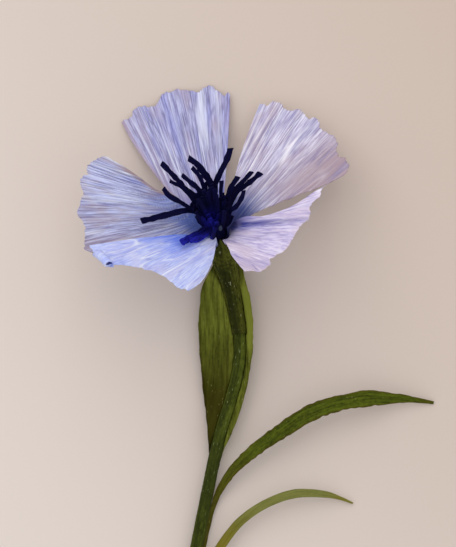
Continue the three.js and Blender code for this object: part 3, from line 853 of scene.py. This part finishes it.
def stem_frame(height):
    """Middle of the stem at heights above the neck, with its right and front there. The
    stem's own direction is the step between two near places on its line."""
    down = STEM_TOP - height
    middle = at_lengths(STEM, down)
    upward = unit(at_lengths(STEM, down - NEARBY) - at_lengths(STEM, down + NEARBY))
    right = unit(np.cross(upward, UP))
    return middle, right, np.cross(right, upward)


def round_stem(height, radius, around):
    """Rings round the stem's line: middle + radius (right cos + front sin)."""
    middle, right, front = (v[:, None] for v in stem_frame(height))
    turn = np.linspace(0, 2 * np.pi, around, endpoint=False)[None, :, None]
    return middle + radius[..., None] * (right * np.cos(turn) + front * np.sin(turn))


# %% Stem and leaf paper: dyed crepe in two greens, matt, with streaks along its grain
def green_paper(name, light, dark, band, speck, width, mottle=0.6, glint=0.0):
    """light and dark are the two greens of the streaks, band is the colour where the mark
    named band is set, which is painted shade on the calyx and in part on the stem and the
    broad leaf, and speck is the colour of small light flecks, where dye is missing and on
    the calyx as painted highlights where glue shines. The mark named lit makes a place
    lighter, as painted light on the stem, the calyx and the broad leaf. mottle is how blotchy
    the paper is, and glint is how much smoother its flecks are."""
    material, tree = new_material(name)
    grain = add(tree, "Attribute", {}, "Vector", attribute_name="grain")
    fold = add(tree, "SeparateXYZ", {0: grain}, "Z")
    banded = add(tree, "Attribute", {}, "Fac", attribute_name="band")
    lit = add(tree, "Attribute", {}, "Fac", attribute_name="lit")
    wide = streaks(tree, grain, width, 16, 2.2)
    thin = streaks(tree, grain, 0.5, 6, 9.1)
    spots = streaks(tree, grain, 0.8, 1.2, 4.4)
    share = lit
    # The fold's height paints raised places lighter and hollows darker: painted light and shade
    for part, weight in ((fold, 0.15), (wide, 1.6), (thin, 1.4), (spots, mottle)):
        share = add(tree, "Math", {0: part, 1: weight, 2: share}, operation="MULTIPLY_ADD")
    # The three noises are 0.5 on average, so this brings the average share to a half
    share = add(tree, "Math", {0: share, 1: 1.0 + mottle / 2}, operation="SUBTRACT")
    colour = add(tree, "Mix", {0: share, 6: srgb(dark), 7: srgb(light)}, **COLOURS)
    flecks = streaks(tree, grain, 0.6, 1.8, 6.6)
    flecks = add(tree, "MapRange", dict(zip(RANGE, (flecks, 0.66, 0.74, 0.0, 0.7))), **SMOOTH)
    for part, code in ((banded, band), (flecks, speck)):
        colour = add(tree, "Mix", {0: part, 6: colour, 7: srgb(code)}, **COLOURS)
    shine = add(tree, "MapRange", dict(zip(RANGE, (flecks, 0.0, 0.7, 0.85, 0.85 - glint))))
    crepe_surface(tree, colour, shine, 0.1, thin, 0.15)
    return material


# %% Radius and marks of a wound strip
def wound(height, turn, radius, pitch, lap, seed):
    """Radius of a wound strip: it grows by lap across the strip and drops at its edge,
    and small creases run along the grain. Also gives the share across the strip."""
    across = np.mod(height / pitch + turn / (2 * np.pi), 1)
    creases = 0.05 * noise(turn * 4, height / 5, seed)
    creases = creases + 0.05 * noise(height / 2.4, turn * 1.2, seed + 1)
    edge = step(across, 0, 0.06) * fade(across, 0.97, 1)
    return radius - lap * (1 - edge * (0.45 + 0.55 * across)) + creases, across


def wound_marks(around, height, across, band, lit, inner, inner_band):
    """Marks of a pipe made of a wound strip. The grain is the mm round it, the height and
    the height of the lap. inner is the shape of the pipe's inside, which has only a band."""
    grain = np.stack(np.broadcast_arrays(around, height, (across - 0.5) * 0.6), -1)
    return {
        "grain": np.vstack([grain, np.zeros((*inner, 3))]),
        "band": np.vstack([np.broadcast_to(band, across.shape), np.full(inner, inner_band)]),
        "lit": np.vstack([np.broadcast_to(lit, across.shape), np.zeros(inner)]),
    }


# %% Wound strip round the stem
WRAP_RADIUS, WRAP_BORE, WRAP_TOP, WIRE_SHOWS = 1.9, 0.75, -10, 1.2
STRIP_PITCH, STRIP_LAP = 6.5, 0.1
AROUND, RING_GAP, BORE_EVERY = 56, 0.28, 12
height = np.arange(WRAP_TOP, STEM_END + WIRE_SHOWS, -RING_GAP)[:, None]
turn = np.linspace(0, 2 * np.pi, AROUND, endpoint=False)[None, :]
radius, across = wound(height, turn, WRAP_RADIUS, STRIP_PITCH, STRIP_LAP, 71)
outside = round_stem(height[:, 0], radius, AROUND)
bore_height = height[::-BORE_EVERY, 0]
inside = round_stem(bore_height, np.full((len(bore_height), AROUND), WRAP_BORE), AROUND)
print("the stem's strip has", len(outside), "rings outside and", len(inside), "inside")

# %% Marks of the stem's strip: painted shade on one side, darker low down, and painted light on its flanks beside the leaf
shaded_side = 0.6 * bell(turn, math.radians(120), math.radians(36))
beside_leaf = step(-height, 26, 34) * fade(-height, 58, 72)
lit = 0.4 * np.cos(turn) ** 6 * beside_leaf - 0.2 * step(-height, 60, 100)
darker_part = 0.65 * step(-height, 55, 68) * (1 - 0.6 * step(-height, 82, 94))
band = np.maximum(shaded_side, darker_part)
marks = wound_marks(turn * WRAP_RADIUS, height, across, band, lit, inside.shape[:2], 0.0)
stem_paper = green_paper("wound_olive_crepe", "#5e6620", "#31380a", "#1f2606", "#8e9a6a", 0.9, 1.5)
stem_rings = np.vstack([outside, inside])
make_piece("stem_strip", [pipe(stem_rings, marks)], stem_paper, "stem_wrap")

# %% Wire: drawn steel, a metal with fine lines along it from the drawing die
material, tree = new_material("drawn_steel")
place = add(tree, "TexCoord", {}, "Object")
# The lines are 0.2 mm apart, coarser than real ones, so that they show, and 2 mm long
LINE_GAP, LINE_LENGTH, LINE_DEPTH = 0.2 * MM, 2 * MM, 0.03 * MM
scale = (1 / LINE_GAP, 1 / LINE_LENGTH, 1 / LINE_GAP)
lines = add(tree, "Mapping", {"Vector": place, "Scale": scale})
lines = add(tree, "TexNoise", {"Vector": lines, "Scale": 1.0, "Detail": 2.0})
tone = add(tree, "Mix", {0: lines, 6: srgb("#8e8e8a"), 7: srgb("#c2c1bb")}, **COLOURS)
rough = add(tree, "MapRange", dict(zip(RANGE, (lines, 0.3, 0.7, 0.28, 0.45))))
bump = add(tree, "Bump", {"Strength": 0.3, "Distance": LINE_DEPTH, "Height": lines})
steel = {"Base Color": tone, "Metallic": 1.0, "Roughness": rough, "Normal": bump}
add(tree, "OutputMaterial", {"Surface": add(tree, "BsdfPrincipled", steel)})
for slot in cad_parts["stem_wire"].material_slots:
    slot.link = "OBJECT"
    slot.material = material
    print("the wire's slot now holds", slot.material.name)

# %% [markdown]
# ## Calyx
#
# A dark strip of the same paper is glued round the petals' feet and wound down on to the
# stem. Glue has soaked into it, so it is darker than the stem and has small shiny spots,
# whose light colour is a painted highlight.
# It is a pipe with the strip's laps on its outside. A tongue of its rim stands up in
# front, between the two lower petals.

# %% Outside of the wound calyx: radius and height of its two skins, and its tongue
CALYX_OUTSIDE = [(2.32, -32), (2.5, -27), (2.85, -18), (3.5, -10), (4.05, -4.5), (4.1, -1.4), (3.75, 0)]
CALYX_INSIDE = [(3.35, 0), (3.25, -7.5), (2.4, -10.8), (2.1, -25), (2.0, -32)]
CALYX_BOTTOM, RIM_DEPTH, CALYX_PITCH, CALYX_LAP = -32, 3, 5.5, 0.12
CALYX_ROWS, CALYX_INNER_ROWS, CALYX_AROUND = 150, 40, 72
TONGUE_HEIGHT, TONGUE_TURN, TONGUE_WIDTH = 3.4, math.radians(89), math.radians(16)
outer_radius, outer_height = np.array(CALYX_OUTSIDE).T
inner_radius, inner_height = np.array(CALYX_INSIDE).T
height = np.linspace(CALYX_BOTTOM, 0, CALYX_ROWS)[:, None]
turn = np.linspace(0, 2 * np.pi, CALYX_AROUND, endpoint=False)[None, :]
plain = np.interp(height, outer_height, outer_radius)
radius, across = wound(height, turn, plain, CALYX_PITCH, CALYX_LAP, 81)
radius = radius + 0.07 * noise(turn * 5, height / 1.1, 82) * step(height, CALYX_BOTTOM, -29)
folds_up = 0.09 * noise(turn * 5, height / 9, 83) * step(height, -14, -2)
tongue = TONGUE_HEIGHT * bell(turn, TONGUE_TURN, TONGUE_WIDTH)
rim = (tongue + 0.2 * noise(turn * 2.4, 0, 84)) * step(height, -RIM_DEPTH, 0)
lean = AXIS * rim[..., None]
# The petals bend outwards just above the rim, so it may lean in only a little
bent_in = folds_up - 0.08 * rim
outside = round_stem(height[:, 0], radius + bent_in, CALYX_AROUND) + lean

# %% Inside of the calyx
# The inner skin follows the outer one at the rim, so that the paper keeps its thickness
down = np.linspace(0, CALYX_BOTTOM, CALYX_INNER_ROWS)[:, None]
rim_share = step(down, -RIM_DEPTH, 0)
inner_skin = np.interp(-down, -inner_height, inner_radius) + bent_in[-1] * rim_share
inside = round_stem(down[:, 0], inner_skin, CALYX_AROUND) + lean[-1] * rim_share[..., None]
opposite = np.interp(height[:, 0], down[::-1, 0], np.arange(CALYX_INNER_ROWS)[::-1]).astype(int)
print("thinnest calyx wall:", round((radius + bent_in - inner_skin[opposite]).min(), 2), "mm")

# %% Marks of the calyx: painted shade on its shaded side, at the rim below the petals and inside, painted light at right
shaded_side = 0.85 * bell(turn, math.radians(112), math.radians(38)) * fade(height, -12, -4)
shaded_rim = 0.35 * step(height, -4, 0)
lit_side = 0.3 * bell(turn, math.radians(45), math.radians(35)) * fade(height, -14, -4)
band = np.maximum(shaded_side, shaded_rim)
marks = wound_marks(turn * 3, height, across, band, lit_side, inside.shape[:2], 0.9)
# Its light flecks are painted highlights where glue shines, and they are smoother too
calyx_paper = green_paper("glued_dark_crepe", "#54571a", "#262904", "#1f2204", "#a2a07c", 0.8, 2.4, 0.45)
make_piece("wound_calyx", [pipe(np.vstack([outside, inside]), marks)], calyx_paper, "calyx")

# %% [markdown]
# ## Stamens
#
# One navy strip was cut into a fringe and rolled up, and its strips were pulled apart.
# Long ones lie out over the petals and show the twist of each strip, and many short ones
# stand close together in the middle. Each is a flat, slightly folded rod carried along
# its own line.

# %% Routes of the long strips: seen from above, root side first, then the tip's height
STRIPS = [
    ([(-6.9, 12.6), (-10.2, 15), (-12.6, 17.7), (-17.6, 23)], 12, 1.45),
    ([(-10.8, 15.3), (-15, 17.7)], 15, 1.1),
    ([(-2.9, 17.1), (-4.9, 20.3), (-6.9, 22.8), (-9.5, 24.5)], 14, 1.8),
    ([(-5.2, 16.8), (-6.3, 19.1), (-8.4, 21.7)], 16.5, 1.2),
    ([(-6.3, 14.8), (-8.6, 17.1), (-11.4, 19.5)], 16.8, 1.3),
    ([(-6.9, 8.2), (-9.2, 9.6), (-12.7, 11.7), (-15.3, 13.4), (-17, 15.5)], 15, 1.25),
    ([(-4.5, 7.4), (-9.2, 8.8), (-12.7, 8.3), (-15.5, 7.6), (-19.8, 6.6), (-23.7, 5.7)], 14, 1.55),
    ([(-4.1, 3.6), (-6.6, 2.2), (-9, 0.8), (-11.8, -0.9)], 23.5, 1.8),
    ([(-3.6, 2.4), (-6, 0.6), (-9.2, -0.2)], 22, 1.6),
    ([(-1.3, 4), (-2.4, 0.1)], 20, 1.2),
    ([(-1.5, 16.5), (0, 20), (1.4, 22.5), (2.6, 25.4), (3.1, 27.5)], 14, 1.6),
    ([(0.3, 14), (0.5, 17.7)], 19, 1.0),
    ([(2.6, 14), (4, 16.8), (5.4, 19)], 17, 1.35),
    ([(3.4, 14), (5.4, 16.2), (7.4, 18.2), (9.4, 20.5)], 16.7, 1.3),
    ([(5.1, 14.5), (7.4, 16.2), (9.8, 18.1), (12.2, 20.2)], 15.7, 1.45),
    ([(2.7, 8.6), (4.9, 9.9), (6.3, 12.2), (7.1, 14.8)], 18, 1.25),
]
STRIP_CLIMB = 0.75
STRIP_THICK, STRIP_BEND, STRIP_SLANT = 0.32, 0.35, 0.3
STRIP_PER_SPAN, STRIP_ROW_GAP, STRIP_LEAST_ROWS, STRIP_CORNERS = 14, 0.35, 12, 10
ROOT_HEIGHT, ROOT_RADIUS = 5, 1.2
SHEEN_PATCH = (-2.7, 6)


def strip(points, width, seed):
    """A strip carried along a line. Its section is a flat ring of corners, folded to a
    shallow V and turned about the line by an angle that drifts along it. Its tip is cut
    at a slant."""
    line = smooth_line(points, STRIP_PER_SPAN)
    length = lengths_along(line)[-1]
    along = np.linspace(0, length, max(int(length / STRIP_ROW_GAP), STRIP_LEAST_ROWS))
    line = at_lengths(line, along)
    forward = unit(np.gradient(line, axis=0))
    side = unit(np.cross(forward, UP + 0.01))
    face = np.cross(side, forward)
    twist = (0.55 * noise(along / 7, seed, 91) + 0.15 * noise(along / 2, seed, 92))[:, None, None]
    side, face = side[:, None], face[:, None]
    side, face = side * np.cos(twist) + face * np.sin(twist), face * np.cos(twist) - side * np.sin(twist)
    turn = np.linspace(0, 2 * np.pi, STRIP_CORNERS, endpoint=False)
    wide = (width * (1.18 + 0.2 * noise(along / 1.3, seed, 93)))[:, None] / 2
    u = wide * np.sign(np.cos(turn)) * np.abs(np.cos(turn)) ** 0.6
    v = STRIP_THICK / 2 * np.sin(turn) + STRIP_BEND * np.abs(u)
    slant = STRIP_SLANT * u * step(along, length - 1.5, length)[:, None]
    rings = line[:, None] + side * u[..., None] + face * v[..., None] + forward[:, None] * slant[..., None]
    grain = np.stack(np.broadcast_arrays(u + seed * 3, along[:, None], u / width * 2), -1)
    return rod(rings, {"grain": grain, "sheen_and_glue": sheen_at(rings)})


def sheen_at(places):
    """How much painted sheen lies on the strips: most in the middle of a patch on the left of
    the core, and along the lowest strips, seen from above."""
    x, y = places[..., 0], places[..., 1]
    patch = 0.55 * bell(x, SHEEN_PATCH[0], 2.0) * bell(y, SHEEN_PATCH[1], 2.4)
    low_strips = 0.6 * fade(y, 0.5, 3.4) * fade(x, -3.6, -2)
    return 0.03 + patch + low_strips


def root_place(bearing, radius=ROOT_RADIUS, height=ROOT_HEIGHT):
    """A place on the rolled core: middle + radius (right cos + front sin)."""
    return AXIS * height + radius * (HEAD_RIGHT * np.cos(bearing) + HEAD_FRONT * np.sin(bearing))


def long_strip(route, tip, width, seed):
    """A strip's height grows fast where it stands up from the core, then slowly."""
    x, y = route[-1]
    root = root_place(math.atan2(tip * AXIS[1] - y * AXIS[2], x))
    xy = np.array(route, float)
    away = np.linalg.norm(xy - root[:2], axis=1)
    z = blend(root[2], tip, (away / away[-1]) ** STRIP_CLIMB)
    return strip(np.vstack([root, np.column_stack([xy, z])]), width, seed)


# %% Long, short and middle strips
# The short ones stand on a spiral whose steps turn by the golden angle, which spreads them
# evenly over the core
random = np.random.default_rng(7)
SHORT_STRIPS, MIDDLE_STRIPS = 64, 26
GOLDEN_ANGLE = math.radians(137.5)
fringe = [long_strip(*one, seed=k) for k, one in enumerate(STRIPS)]
for k in range(SHORT_STRIPS):
    bearing, spot = k * GOLDEN_ANGLE, math.sqrt((k + 0.5) / SHORT_STRIPS)
    root = root_place(bearing, 0.3 + 2.0 * spot, 2.5)
    length = random.uniform(9, 16) * (1.2 - 0.3 * spot)
    lean = 0.08 + 0.28 * spot * random.uniform(0.4, 1.2)
    way = AXIS + lean * (HEAD_RIGHT * math.cos(bearing) + HEAD_FRONT * math.sin(bearing))
    sideways = random.normal(0, 0.5, 3)
    bent = root + way * length * 0.7 + sideways * 0.4
    points = [root, root + AXIS * length * 0.35, bent, root + way * length + sideways]
    fringe.append(strip(points, random.uniform(0.8, 1.4), 100 + k))

# The middle ones fan out over the upper side, with their tips on an oval seen from above
OVAL_MIDDLE, OVAL_SIZE = np.array([-2.6, 8.5]), np.array([4.6, 7.6])
for k in range(MIDDLE_STRIPS):
    bearing = math.radians(random.uniform(-5, 215))
    tip = OVAL_MIDDLE + OVAL_SIZE * random.uniform(0.7, 1.1) * [math.cos(bearing), math.sin(bearing)]
    height, width = random.uniform(14, 19), random.uniform(0.9, 1.4)
    fringe.append(long_strip([tuple(tip * 0.6), tuple(tip)], height, width, 200 + k))

# %% Rolled core: radius and height of its outline, lumpy, with the step of the roll's end
CORE = [(1.8, -7), (1.8, -1), (1.9, 3), (1.8, 5.5), (0.9, 7)]
CORE_ROWS, CORE_AROUND, CORE_LUMPS = 60, 48, 0.12
core_radius, core_height = np.array(CORE).T
height = np.linspace(core_height[0], core_height[-1], CORE_ROWS)[:, None]
turn = np.linspace(0, 2 * np.pi, CORE_AROUND, endpoint=False)[None, :]
lumps = CORE_LUMPS * noise(turn * 6, height / 5, 95)
profile = np.interp(height, core_height, core_radius) + lumps - CORE_LUMPS * (turn / (2 * np.pi))
core_grain = np.stack(np.broadcast_arrays(turn * 2.2, height, 0.0), -1)
core = round_stem(height[:, 0], profile, CORE_AROUND)
fringe.append(rod(core, {"grain": core_grain, "sheen_and_glue": sheen_at(core)}))
print("the fringe has", len(fringe) - 1, "strips and a core")

# %% A bead of set glue sits on the front of the fringe, at its highest place there
BEAD_AT, BEAD_RADIUS, BEAD_SHAPE = np.array([0.1, 3.5]), 0.75, [0.8, 1.1, 0.6]
# Its rings climb from this many radians below its middle to as many above, just short of
# the poles
BEAD_CLIMB, BEAD_ROWS, BEAD_AROUND = 1.45, 12, 16
everywhere = np.vstack([places for places, _, _ in fringe])
close = np.linalg.norm(everywhere[:, :2] - BEAD_AT, axis=1) < BEAD_RADIUS
bead_middle = np.array([*BEAD_AT, everywhere[close, 2].max() + 0.1])
climb = np.linspace(-BEAD_CLIMB, BEAD_CLIMB, BEAD_ROWS)[:, None]
ball = heading(np.linspace(0, 360, BEAD_AROUND, endpoint=False)[None, :], np.degrees(climb))
bead = bead_middle + ball * BEAD_RADIUS * BEAD_SHAPE
fringe.append(rod(bead, {"grain": ball, "sheen_and_glue": np.full(bead.shape[:2], 2.0)}))
print("the bead of glue is", round(bead_middle[2], 1), "mm above the neck")

# %% Stamen paper: navy crepe, dyed so deeply that it looks black, with painted sheen in a few places
material, tree = new_material("deep_navy_crepe")
grain = add(tree, "Attribute", {}, "Vector", attribute_name="grain")
sheen_and_glue = add(tree, "Attribute", {}, "Fac", attribute_name="sheen_and_glue")
thin = streaks(tree, grain, 0.45, 3, 1.7)
uneven = add(tree, "MapRange", dict(zip(RANGE, (thin, 0.3, 0.7, 0.35, 1.65))))
# Painted sheen lightens the navy towards a bright blue
sheen_share = add(tree, "Math", {0: uneven, 1: sheen_and_glue}, operation="MULTIPLY")
colour = add(tree, "Mix", {0: sheen_share, 6: srgb("#02011c"), 7: srgb("#2828b8")}, **COLOURS)
# Where this mark is above 1 there is no paper but the bead of glue, which is grey and shiny
glue = add(tree, "MapRange", dict(zip(RANGE, (sheen_and_glue, 1.4, 1.6, 0.0, 1.0))))
colour = add(tree, "Mix", {0: glue, 6: colour, 7: srgb("#373d52")}, **COLOURS)
shine = add(tree, "MapRange", dict(zip(RANGE, (glue, 0.0, 1.0, 0.8, 0.25))))
crepe_surface(tree, colour, shine, 0.1, thin, 0.1)
make_piece("navy_fringe", fringe, material, "stamen_fringe")

# %% [markdown]
# ## Leaves
#
# A leaf is cut from green crepe with the grain along it, and pinched lengthwise so that
# it cups. It is given by stations: a place, a width, a sideways roll and how far its
# edges stand above its middle. The broad one is wrapped behind the stem, and the two
# narrow ones arch out to the right.

# %% Stations of the leaves: place, width in mm, roll in degrees, cup in mm
LEAVES = {
    "sheath_leaf": [
        (-1.4, -65.5, -14.7, 3.4, 0, 0.9), (-1, -62, -14.6, 4.8, 0, 1.1), (0.4, -54, -14.5, 9.2, 0, 1.2),
        (1.3, -45, -14.5, 13, 0, 1.5), (1.8, -34, -14.6, 16, 0, 2), (1.7, -25, -14.6, 16.5, 0, 2.2),
        (1.6, -15, -14.1, 14.4, 0, 2.2), (2.4, -7.5, -13, 9, 0, 1.5), (2.7, -3, -12.2, 1.2, 0, 0.1),
    ],
    "upper_leaf": [
        (-6.3, -98, -14.9, 1.5, -40, 0), (-4.8, -92, -14.5, 1.7, -45, 0), (-3.1, -84, -14.1, 1.8, -50, 0),
        (-1.5, -78.5, -13.6, 1.8, -25, 0), (-0.1, -75.2, -12.9, 2, -5, 0.1), (3.6, -69.6, -10.9, 2.9, 8, 0.3),
        (10.2, -63.4, -9.5, 3.8, 12, 0.5), (18.6, -57.4, -8.5, 4.7, 12, 0.5), (27, -52.1, -8, 5, 10, 0.5),
        (35, -49.3, -8.2, 4.6, 5, 0.5), (43.5, -47.7, -9.2, 5, 0, 0.4), (50.5, -47.6, -10.9, 3.6, -10, 0.2),
        (57.5, -47.9, -13.1, 2, -20, 0.1), (64.3, -48.9, -15.3, 0.8, -25, 0),
    ],
    "lower_leaf": [
        (-8.8, -115, -13.6, 1.6, -80, 0), (-6.9, -106, -13.4, 1.8, -60, 0), (-3.4, -98, -12.8, 2.2, -10, 0.1),
        (0.4, -91.9, -12.1, 2.7, 6, 0.2), (6, -84.8, -11.4, 2.6, 10, 0.3), (13.5, -79.5, -10.9, 2.6, 12, 0.3),
        (22, -76.4, -11, 2.7, 10, 0.3), (31, -76.4, -12.6, 2.1, 4, 0.2), (36, -77.6, -14.1, 1.1, 2, 0.1),
        (40, -79.2, -15.2, 0.5, 0, 0),
    ],
}
LEAF_PAPER = 0.24
LEAF_PER_SPAN = 40
LEAF_LEAST_COLUMNS, LEAF_COLUMNS_PER_MM = 20, 3.6
WIDE_FOLD, FINE_FOLD = 0.09, 0.05
# The radius of the stem, and above it of the calyx, at these places up the picture
STEM_SIDE_AT, STEM_SIDE = [-28.8, -28.2, -23, -14.5, -7], [1.98, 2.34, 2.5, 2.85, 3.5]


def beside_stem(line, across):
    """Height of the paper where it is pressed up against the stem's two sides: nothing
    under the stem, most just beside it, and less further out. It fades at both ends."""
    order = np.argsort(STEM[:, 1])
    stem_x, stem_z = (np.interp(line[:, 1], STEM[order, 1], STEM[order, k])[:, None] for k in (0, 2))
    radius = np.interp(line[:, 1], STEM_SIDE_AT, STEM_SIDE)[:, None]
    away = np.abs(line[:, :1] + across - stem_x)
    up = step(away, radius - 0.25, radius + 0.05) * fade(away, radius + 0.5, radius + 5)
    there = step(line[:, 1], -66, -58) * fade(line[:, 1], -13, -6)
    return up * (stem_z - line[:, 2:] + 0.5) * there[:, None]


def leaf(node, name, material, seed, ripple, crumple, ragged, tint, hugs=False):
    """Places = the line + widthways times half the width + the way it looks times the
    cup, the side's distance from the middle squared. The edges ripple, and fine folds run
    along. tint gives the band and lit marks from the side, -1 to 1, and the share along."""
    stations = np.array(LEAVES[node])
    line = smooth_line(stations[:, :3], LEAF_PER_SPAN)
    share = np.linspace(0, len(stations) - 1, len(line))
    width, roll, cup = (np.interp(share, np.arange(len(stations)), stations[:, k]) for k in (3, 4, 5))
    forward = unit(np.gradient(line, axis=0))
    level = unit(np.cross(forward, UP))
    above = np.cross(level, forward)
    roll = np.radians(roll)[:, None]
    sideways = level * np.cos(roll) + above * np.sin(roll)
    normal = np.cross(sideways, forward)
    columns = round(LEAF_LEAST_COLUMNS + LEAF_COLUMNS_PER_MM * width.max())
    side = np.linspace(-1, 1, columns)[None, :]
    gone = lengths_along(line)[:, None]
    torn = 1 + ragged * noise(gone / 1.3, np.sign(side) * 5, seed) * step(np.abs(side), 0.6, 1)
    across = side * width[:, None] / 2 * torn
    fold = WIDE_FOLD * noise(across / 0.75 + 20, gone / 22, seed + 1)
    fold = fold + FINE_FOLD * noise(across / 0.4 + 50, gone / 12, seed + 2)
    wave = ripple * noise(gone / 4.5, side * 1.3 + 9, seed + 5) * side**2
    wave = wave + crumple * noise(gone / 7, side * 1.5 + 40, seed + 6)
    small = np.minimum(width / 3, 1)[:, None]
    height = cup[:, None] * side**2 + (fold + wave) * small
    if hugs:
        height = height + beside_stem(line, across)
    middle = line[:, None] + sideways[:, None] * across[..., None] + normal[:, None] * height[..., None]
    band, lit = (np.broadcast_to(v, across.shape) for v in tint(side, gone / gone[-1]))
    grain = np.stack(np.broadcast_arrays(across, gone, fold / (WIDE_FOLD + FINE_FOLD)), -1)
    marks = {"grain": grain, "band": band, "lit": lit}
    make_piece(name, [sheet(middle, LEAF_PAPER, marks)], material, node)


# %% Make the leaves
leaf(
    "sheath_leaf", "broad_leaf",
    green_paper("olive_crepe_leaf", "#787e2c", "#363904", "#322e00", "#8f9055", 1.3),
    seed=110, ripple=0.08, crumple=0.2, ragged=0.012,
    tint=lambda side, share: (
        # band: painted shade over the lower left half beside the stem, and a darker left edge
        0.9 * fade(share, 0.25, 0.65) * fade(side, 0.1, 0.5) + 0.3 * fade(side, -0.98, -0.85),
        # lit: painted light on the strip beside the stem's right side, and a little lighter higher up
        0.9 * step(side, 0.72, 0.86) * step(share, 0.45, 0.6) * fade(share, 0.78, 0.88)
        + 0.15 * step(share, 0.6, 0.8),
    ),
    hugs=True,
)
leaf(
    "upper_leaf", "long_narrow_leaf",
    green_paper("grass_green_crepe_leaf", "#566014", "#2e3305", "#524610", "#7f8040", 0.7, 1.6),
    seed=120, ripple=0.3, crumple=0.22, ragged=0.08,
    tint=lambda side, share: (
        0.6 * step(np.abs(side), 0.75, 0.95) + 0.5 * fade(share, 0.2, 0.45)
        + 0.4 * step(share, 0.93, 0.98),
        0.1 * step(share, 0.5, 0.7),
    ),
)
leaf(
    "lower_leaf", "small_narrow_leaf",
    green_paper("faded_green_crepe_leaf", "#7b7c40", "#57571f", "#796a12", "#96945f", 0.8, 0.5),
    seed=130, ripple=0.08, crumple=0.05, ragged=0.02,
    tint=lambda side, share: (
        0.85 * fade(share, 0.25, 0.6) + 0.5 * step(share, 0.85, 0.97),
        0.3 * step(share, 0.4, 0.7),
    ),
)
